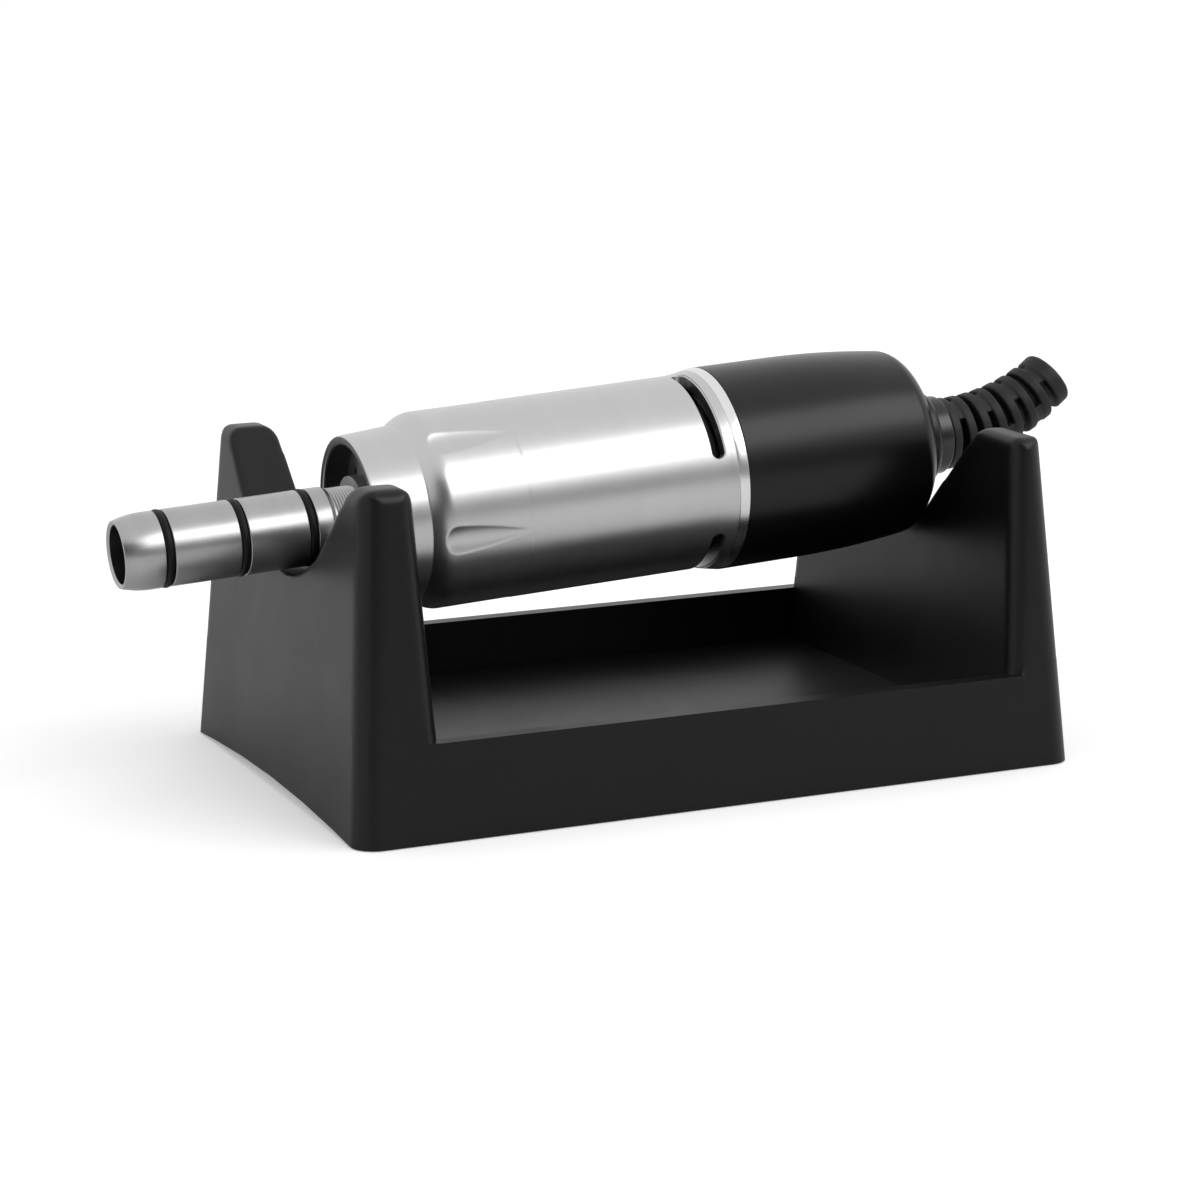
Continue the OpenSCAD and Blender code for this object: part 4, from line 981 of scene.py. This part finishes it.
class MICROMOTOR_OT_stand(bpy.types.Operator):
    """Build the moulded stand with softened edges"""
    bl_idname = "micromotor.stand"
    bl_label = "Stand"

    def execute(self, context):
        settings = context.scene.micromotor
        stand = settings.stand
        close, cut = 0.001 * MM, stand.posts - 0.001 * MM
        lower = bmesh.new()
        lower.from_mesh(frame["nodes"]["stand_body"].data)
        bmesh.ops.remove_doubles(lower, verts=lower.verts, dist=2 * close)
        bmesh.ops.dissolve_limit(
            lower, angle_limit=math.radians(1.2), verts=lower.verts, edges=lower.edges,
            use_dissolve_boundaries=False,
        )
        round_corners(lower, settings)
        posts, hollow = soft_posts(settings, lower)
        cut_level(lower, stand.posts, below=False)
        edges = [
            edge for edge in lower.edges if edge.calc_face_angle(0) > math.radians(28)
            and max(vert.co.z for vert in edge.verts) < cut
        ]
        bmesh.ops.bevel(
            lower, geom=edges, offset=stand.edge, offset_type="OFFSET", segments=3, profile=0.5,
            affect="EDGES", clamp_overlap=True, material=-1,
        )
        add_part(lower, hollow)
        rim = [vert for vert in lower.verts if vert.co.z > cut]
        bmesh.ops.remove_doubles(lower, verts=rim, dist=close)
        bmesh.ops.recalc_face_normals(lower, faces=lower.faces)
        add_part(lower, posts)
        piece = make_piece("stand_shell", lower)
        smooth(piece, 34)
        dress(piece, settings, "stand", "stand_body", "stand_plastic")
        return {"FINISHED"}


class MICROMOTOR_OT_nose(bpy.types.Operator):
    """Build the ringed nose and its sealing rings"""
    bl_idname = "micromotor.nose"
    bl_label = "Nose and rings"

    def execute(self, context):
        settings = context.scene.micromotor
        nose, tip = settings.nose, settings.axis.tip
        piece = turned_piece(
            "nose_barrel", nose_corners(nose, tip), settings, 128, 30, "nose_tube", "nose_steel",
        )
        # painted shade: the nose's bore behind the mouth takes a near black metal
        paint_bore_shade(piece, settings, tip + 0.5 * MM, "nose_bore_shade", 0.06)
        for node, offset in SEALS:
            bm = round_wire(24, nose.cord / 2, (seal_middle(nose), 0, tip + offset * MM), nose.squeeze)
            spin(bm, 128)
            seal = make_piece("seal_" + node, bm, axis_matrix(settings))
            smooth(seal, 60, weighted=False)
            dress(seal, settings, "motor_case", node, "ring_rubber")
        return {"FINISHED"}


class MICROMOTOR_OT_grip(bpy.types.Operator):
    """Build the grip sleeve with its flutes and vents, and the bright ring behind it"""
    bl_idname = "micromotor.grip"
    bl_label = "Grip and ring"

    def execute(self, context):
        settings = context.scene.micromotor
        grip = settings.grip
        bm = spin_outline(grip_corners(settings), 432)
        press_flutes(bm, settings)
        sleeve = make_piece("grip_barrel", bm, axis_matrix(settings))
        cut_away(sleeve, vent_cutters(settings))
        smooth(sleeve, 32)
        dress(sleeve, settings, "motor_case", "grip_sleeve", "grip_alloy")
        # painted shade: the grip's bore and the end face round the neck take a darker metal
        inside = station(settings, NECK_START + 0.4)
        paint_bore_shade(sleeve, settings, inside, "grip_bore_shade", 0.16, end_face=grip.neck)
        seam, end = station(settings, SEAM), station(settings, HOOD_START)
        bore, front_spigot = 9.58 * MM, 10.38 * MM
        rear_inside, rear_spigot = 10.455 * MM, 11.255 * MM
        lip, reach = seam - 0.8 * MM, end + 5 * MM
        corners = [
            (lip, bore, 0), (lip, front_spigot, 0), (seam, front_spigot, 0),
            (seam, grip.seam, 0.1 * MM), (end, grip.ring, 0.14 * MM), (end, rear_spigot, 0),
            (reach, rear_spigot, 0), (reach, rear_inside, 0), (end, rear_inside, 0), (end, bore, 0),
        ]
        turned_piece("bright_ring", corners, settings, 192, 30, "rear_ring", "ring_alloy")
        return {"FINISHED"}


class MICROMOTOR_OT_hood(bpy.types.Operator):
    """Build the rear hood, its boss and the gland"""
    bl_idname = "micromotor.hood"
    bl_label = "Hood and gland"

    def execute(self, context):
        settings = context.scene.micromotor
        hood = settings.hood
        turned_piece(
            "hood_shell", hood_corners(settings), settings, 160, 34, "rear_hood", "hood_plastic",
        )
        back, end = station(settings, HOOD_END), station(settings, BOSS_END)
        passage, gap = 3.12 * MM, 0.02 * MM
        dome = hood.radius - hood.taper - hood.dome_rise
        rim = math.acos((hood.boss - dome) / hood.dome_rise)
        corners = [(back + gap, passage, 0)]
        for i in range(7):
            angle = math.pi / 2 + (rim - math.pi / 2) * i / 6
            corners.append((
                back - hood.dome_length + hood.dome_length * math.sin(angle) + gap,
                dome + hood.dome_rise * math.cos(angle), 0,
            ))
        corners += [(end, hood.boss, 0.9 * MM), (end, passage, 0)]
        turned_piece("hood_boss", corners, settings, 96, 34, "gland_boss", "hood_plastic")
        stem, top = back - (3.2 + 2 + 1) * MM, station(settings, GLAND_END)
        bore, stem_radius, edge = 2.1 * MM, 3.1 * MM, 0.35 * MM
        corners = [
            (stem, bore, 0), (stem, stem_radius, 0.3 * MM), (end, stem_radius, 0),
            (end, hood.gland, edge), (top, hood.gland, edge), (top, bore, 0.1 * MM),
        ]
        turned_piece("gland_head", corners, settings, 96, 34, "gland_nut", "gland_metal")
        return {"FINISHED"}


class MICROMOTOR_OT_boot(bpy.types.Operator):
    """Build the slotted cable boot as one soft moulding"""
    bl_idname = "micromotor.boot"
    bl_label = "Cable boot"

    def execute(self, context):
        settings = context.scene.micromotor
        boot = make_piece("slotted_boot", boot_bmesh(settings))
        one_skin(boot, 0.13 * MM, 2)
        for polygon in boot.data.polygons:
            polygon.use_smooth = True
        dress(boot, settings, "motor_case", "cable_boot", "boot_rubber")
        return {"FINISHED"}


class MICROMOTOR_OT_springs(bpy.types.Operator):
    """Wind the dog's spring and the brushes' springs"""
    bl_idname = "micromotor.springs"
    bl_label = "Springs"

    def execute(self, context):
        settings = context.scene.micromotor
        down = axis_matrix(settings) @ Matrix.Rotation(-math.pi / 2, 4, "Z")
        bm = bmesh.new()
        start = Matrix.Translation((0, 0, station(settings, 15.03)))
        add_spring(bm, 1.95 * MM, 4.94 * MM, 5, 0.2 * MM, down @ start)
        spring = make_piece("dog_coil", bm)
        smooth(spring, 60, weighted=False)
        dress(spring, settings, "rotor", "dog_spring", "spring_steel")
        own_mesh(spring)
        bm = bmesh.new()
        brush = Matrix.Translation((7.1 * MM, 0, station(settings, HOLDER_START + 3)))
        for side in (0, math.pi):
            aim = down @ Matrix.Rotation(side, 4, "Z") @ brush @ Matrix.Rotation(math.pi / 2, 4, "Y")
            add_spring(bm, 0.85 * MM, 2.365 * MM, 3, 0.15 * MM, aim)
        springs = make_piece("brush_coils", bm)
        smooth(springs, 60, weighted=False)
        dress(springs, settings, "motor_case", "brush_springs", "spring_steel")
        return {"FINISHED"}


class MICROMOTOR_OT_windings(bpy.types.Operator):
    """Lay the armature's windings as bundles of round wire"""
    bl_idname = "micromotor.windings"
    bl_label = "Windings"

    def execute(self, context):
        settings = context.scene.micromotor
        slots, length_past = 7, 3.0 * MM
        core_end = station(settings, CORE_END)
        core = core_end - 21 * MM
        wire, ring_wire = 0.34 * MM, 0.29 * MM
        bm = bmesh.new()
        for i in range(slots):
            turn = Matrix.Rotation(math.tau * i / slots, 4, "Z")
            for across, along in strand_offsets(1):
                place = Matrix.Translation((
                    5.11 * MM + across * 2 * wire, along * 2 * wire, (core + core_end) / 2,
                ))
                bmesh.ops.create_cone(
                    bm, cap_ends=True, segments=14, radius1=wire, radius2=wire,
                    depth=core_end - core + length_past, matrix=turn @ place,
                )
        for middle in (core - 1.6 * MM, core_end + 1.6 * MM):
            for across, along in strand_offsets(2):
                ring = round_wire(10, ring_wire, (
                    4.56 * MM + across * 2 * ring_wire, 0, middle + along * 2 * ring_wire,
                ))
                spin(ring, 72)
                add_part(bm, ring)
        turn = Matrix.Rotation(-math.pi / 2, 4, "Z")
        coils = make_piece("wound_coils", bm, axis_matrix(settings) @ turn)
        smooth(coils, 60, weighted=False)
        dress(coils, settings, "rotor", "armature_windings", "copper")
        return {"FINISHED"}


class MICROMOTOR_OT_inside(bpy.types.Operator):
    """Give every other CAD part its finish"""
    bl_idname = "micromotor.inside"
    bl_label = "Finishes of the other parts"

    def execute(self, context):
        settings = context.scene.micromotor
        for part in frame["record"]["subparts"]:
            node = frame["nodes"][part["node"]]
            material = slot_material(settings, part["material_slot"])
            if not node.material_slots:
                raise RuntimeError("no material slot on " + part["node"])
            for place in node.material_slots:
                place.material = material
        return {"FINISHED"}


def stage_sheet(name, size, matrix, paint, values):
    """A flat square of the stage with its paint, and the paint's node tree and shader."""
    bm = bmesh.new()
    bmesh.ops.create_grid(bm, x_segments=1, y_segments=1, size=size)
    sheet = make_piece(name, bm, matrix)
    material, tree, shader = new_material(paint, values)
    sheet.data.materials.append(material)
    return sheet, tree, shader


def hidden_card(name, grey, matrix, paint):
    """A matt card or flag that only shows in reflections."""
    card, _, _ = stage_sheet(name, 0.5, matrix, paint, {
        "Base Color": (grey, grey, grey, 1), "Roughness": 1.0, "Specular IOR Level": 0.0,
    })
    card.visible_camera = False


class MICROMOTOR_OT_stage(bpy.types.Operator):
    """Build the floor, the lamps and the camera"""
    bl_idname = "micromotor.stage"
    bl_label = "Stage"

    def execute(self, context):
        scene = context.scene
        studio = scene.micromotor.studio
        _, tree, shader = stage_sheet(
            "floor", 12.0, Matrix.Translation((0, 0, -0.1 * MM)), "floor_paint", {
                "Base Color": (*studio.floor, 1), "Roughness": 0.9, "Specular IOR Level": 0.1,
                "Emission Color": (1, 1, 1, 1),
            },
        )
        camera_ray = new_node(tree, "LightPath", {}).outputs["Is Camera Ray"]
        lift = new_node(tree, "Math", {0: camera_ray, 1: studio.floor_lift}, operation="MULTIPLY")
        feed(tree, shader, {"Emission Strength": lift.outputs["Value"]})

        target = Vector((0, 0, 0.03))
        hidden_card("grey_card", studio.card, (
            Matrix.Translation((0.1, -0.95, 0.17)) @ Matrix.Rotation(math.pi / 2, 4, "X")
            @ Matrix.Diagonal((2.4, 0.34, 1, 1))
        ), "card_paint")
        place = Vector((-0.47, -0.88, 0.42))
        aim = (target - place).to_track_quat("Z", "Y").to_matrix().to_4x4()
        hidden_card("dark_flag", studio.flag, (
            Matrix.Translation(place) @ aim @ Matrix.Diagonal((0.85, 0.75, 1, 1))
        ), "flag_cloth")

        world = scene.world or bpy.data.worlds.new("studio")
        scene.world = world
        world.use_nodes = True
        tree = world.node_tree
        tree.nodes.clear()
        rays = new_node(tree, "LightPath", {}).outputs
        seen = rays["Is Camera Ray"]
        for other in ("Is Glossy Ray", "Is Transmission Ray"):
            seen = new_node(tree, "Math", {0: seen, 1: rays[other]}, operation="MAXIMUM").outputs[0]
        strength = new_node(tree, "MapRange", {"Value": seen, "To Min": studio.room, "To Max": 1.0})
        background = new_node(tree, "Background", {
            "Color": (1, 1, 1, 1), "Strength": strength.outputs["Result"],
        })
        new_node(tree, "OutputWorld", {"Surface": background.outputs["Background"]})

        lamp_data = bpy.data.lights.new("strip_lamp", "AREA")
        lamp_data.shape = "RECTANGLE"
        lamp_data.size = 1.2
        lamp_data.size_y = 0.55
        lamp_data.energy = studio.strip_power
        lamp = bpy.data.objects.new("strip_lamp", lamp_data)
        lamp.location = target + 1.1 * Vector((0.40, -0.63, 0.66)).normalized()
        lamp.rotation_euler = (target - lamp.location).to_track_quat("-Z", "Y").to_euler()
        lamp.visible_camera = False
        scene.collection.objects.link(lamp)

        camera_data = bpy.data.cameras.new("photo_camera")
        camera_data.sensor_width = 36.0
        camera_data.lens = studio.lens
        camera_data.clip_start = 0.01
        camera_data.clip_end = 10.0
        camera = bpy.data.objects.new("photo_camera", camera_data)
        azimuth, elevation, roll = (math.radians(turn) for turn in (24.1496, 12.408, -0.1787))
        forward = Vector((
            math.sin(azimuth) * math.cos(elevation), math.cos(azimuth) * math.cos(elevation),
            -math.sin(elevation),
        ))
        right = Vector((math.cos(azimuth), -math.sin(azimuth), 0))
        up = right.cross(forward)
        rolled = (
            right * math.cos(roll) + up * math.sin(roll), up * math.cos(roll) - right * math.sin(roll),
        )
        turn = Matrix((*rolled, -forward)).transposed()
        camera.matrix_world = Matrix.Translation((-0.159332, -0.350330, 0.102891)) @ turn.to_4x4()
        scene.collection.objects.link(camera)
        scene.camera = camera
        scene.view_settings.view_transform = "Standard"
        return {"FINISHED"}


BUILD_ORDER = (
    MICROMOTOR_OT_inside,
    MICROMOTOR_OT_stand,
    MICROMOTOR_OT_nose,
    MICROMOTOR_OT_grip,
    MICROMOTOR_OT_hood,
    MICROMOTOR_OT_boot,
    MICROMOTOR_OT_springs,
    MICROMOTOR_OT_windings,
    MICROMOTOR_OT_stage,
)


class MICROMOTOR_PT_panel(bpy.types.Panel):
    """Settings and build steps of the micromotor"""
    bl_label = "Micromotor"
    bl_space_type = "VIEW_3D"
    bl_region_type = "UI"
    bl_category = "Micromotor"

    def draw(self, context):
        settings = context.scene.micromotor
        for name in MicromotorSettings.__annotations__:
            group = getattr(settings, name)
            box = self.layout.box()
            for size in group.__annotations__:
                box.prop(group, size)
        for step in BUILD_ORDER:
            self.layout.operator(step.bl_idname)


CLASSES = (
    AxisSettings, NoseSettings, GripSettings, HoodSettings, StandSettings, FinishSettings,
    StudioSettings, MicromotorSettings, *BUILD_ORDER, MICROMOTOR_PT_panel,
)


def register():
    for item in CLASSES:
        bpy.utils.register_class(item)
    bpy.types.Scene.micromotor = PointerProperty(type=MicromotorSettings)


def unregister():
    del bpy.types.Scene.micromotor
    for item in reversed(CLASSES):
        bpy.utils.unregister_class(item)


def main():
    register()
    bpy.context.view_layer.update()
    for step in BUILD_ORDER:
        category, name = step.bl_idname.split(".")
        getattr(getattr(bpy.ops, category), name)()


if __name__ == "__main__":
    main()
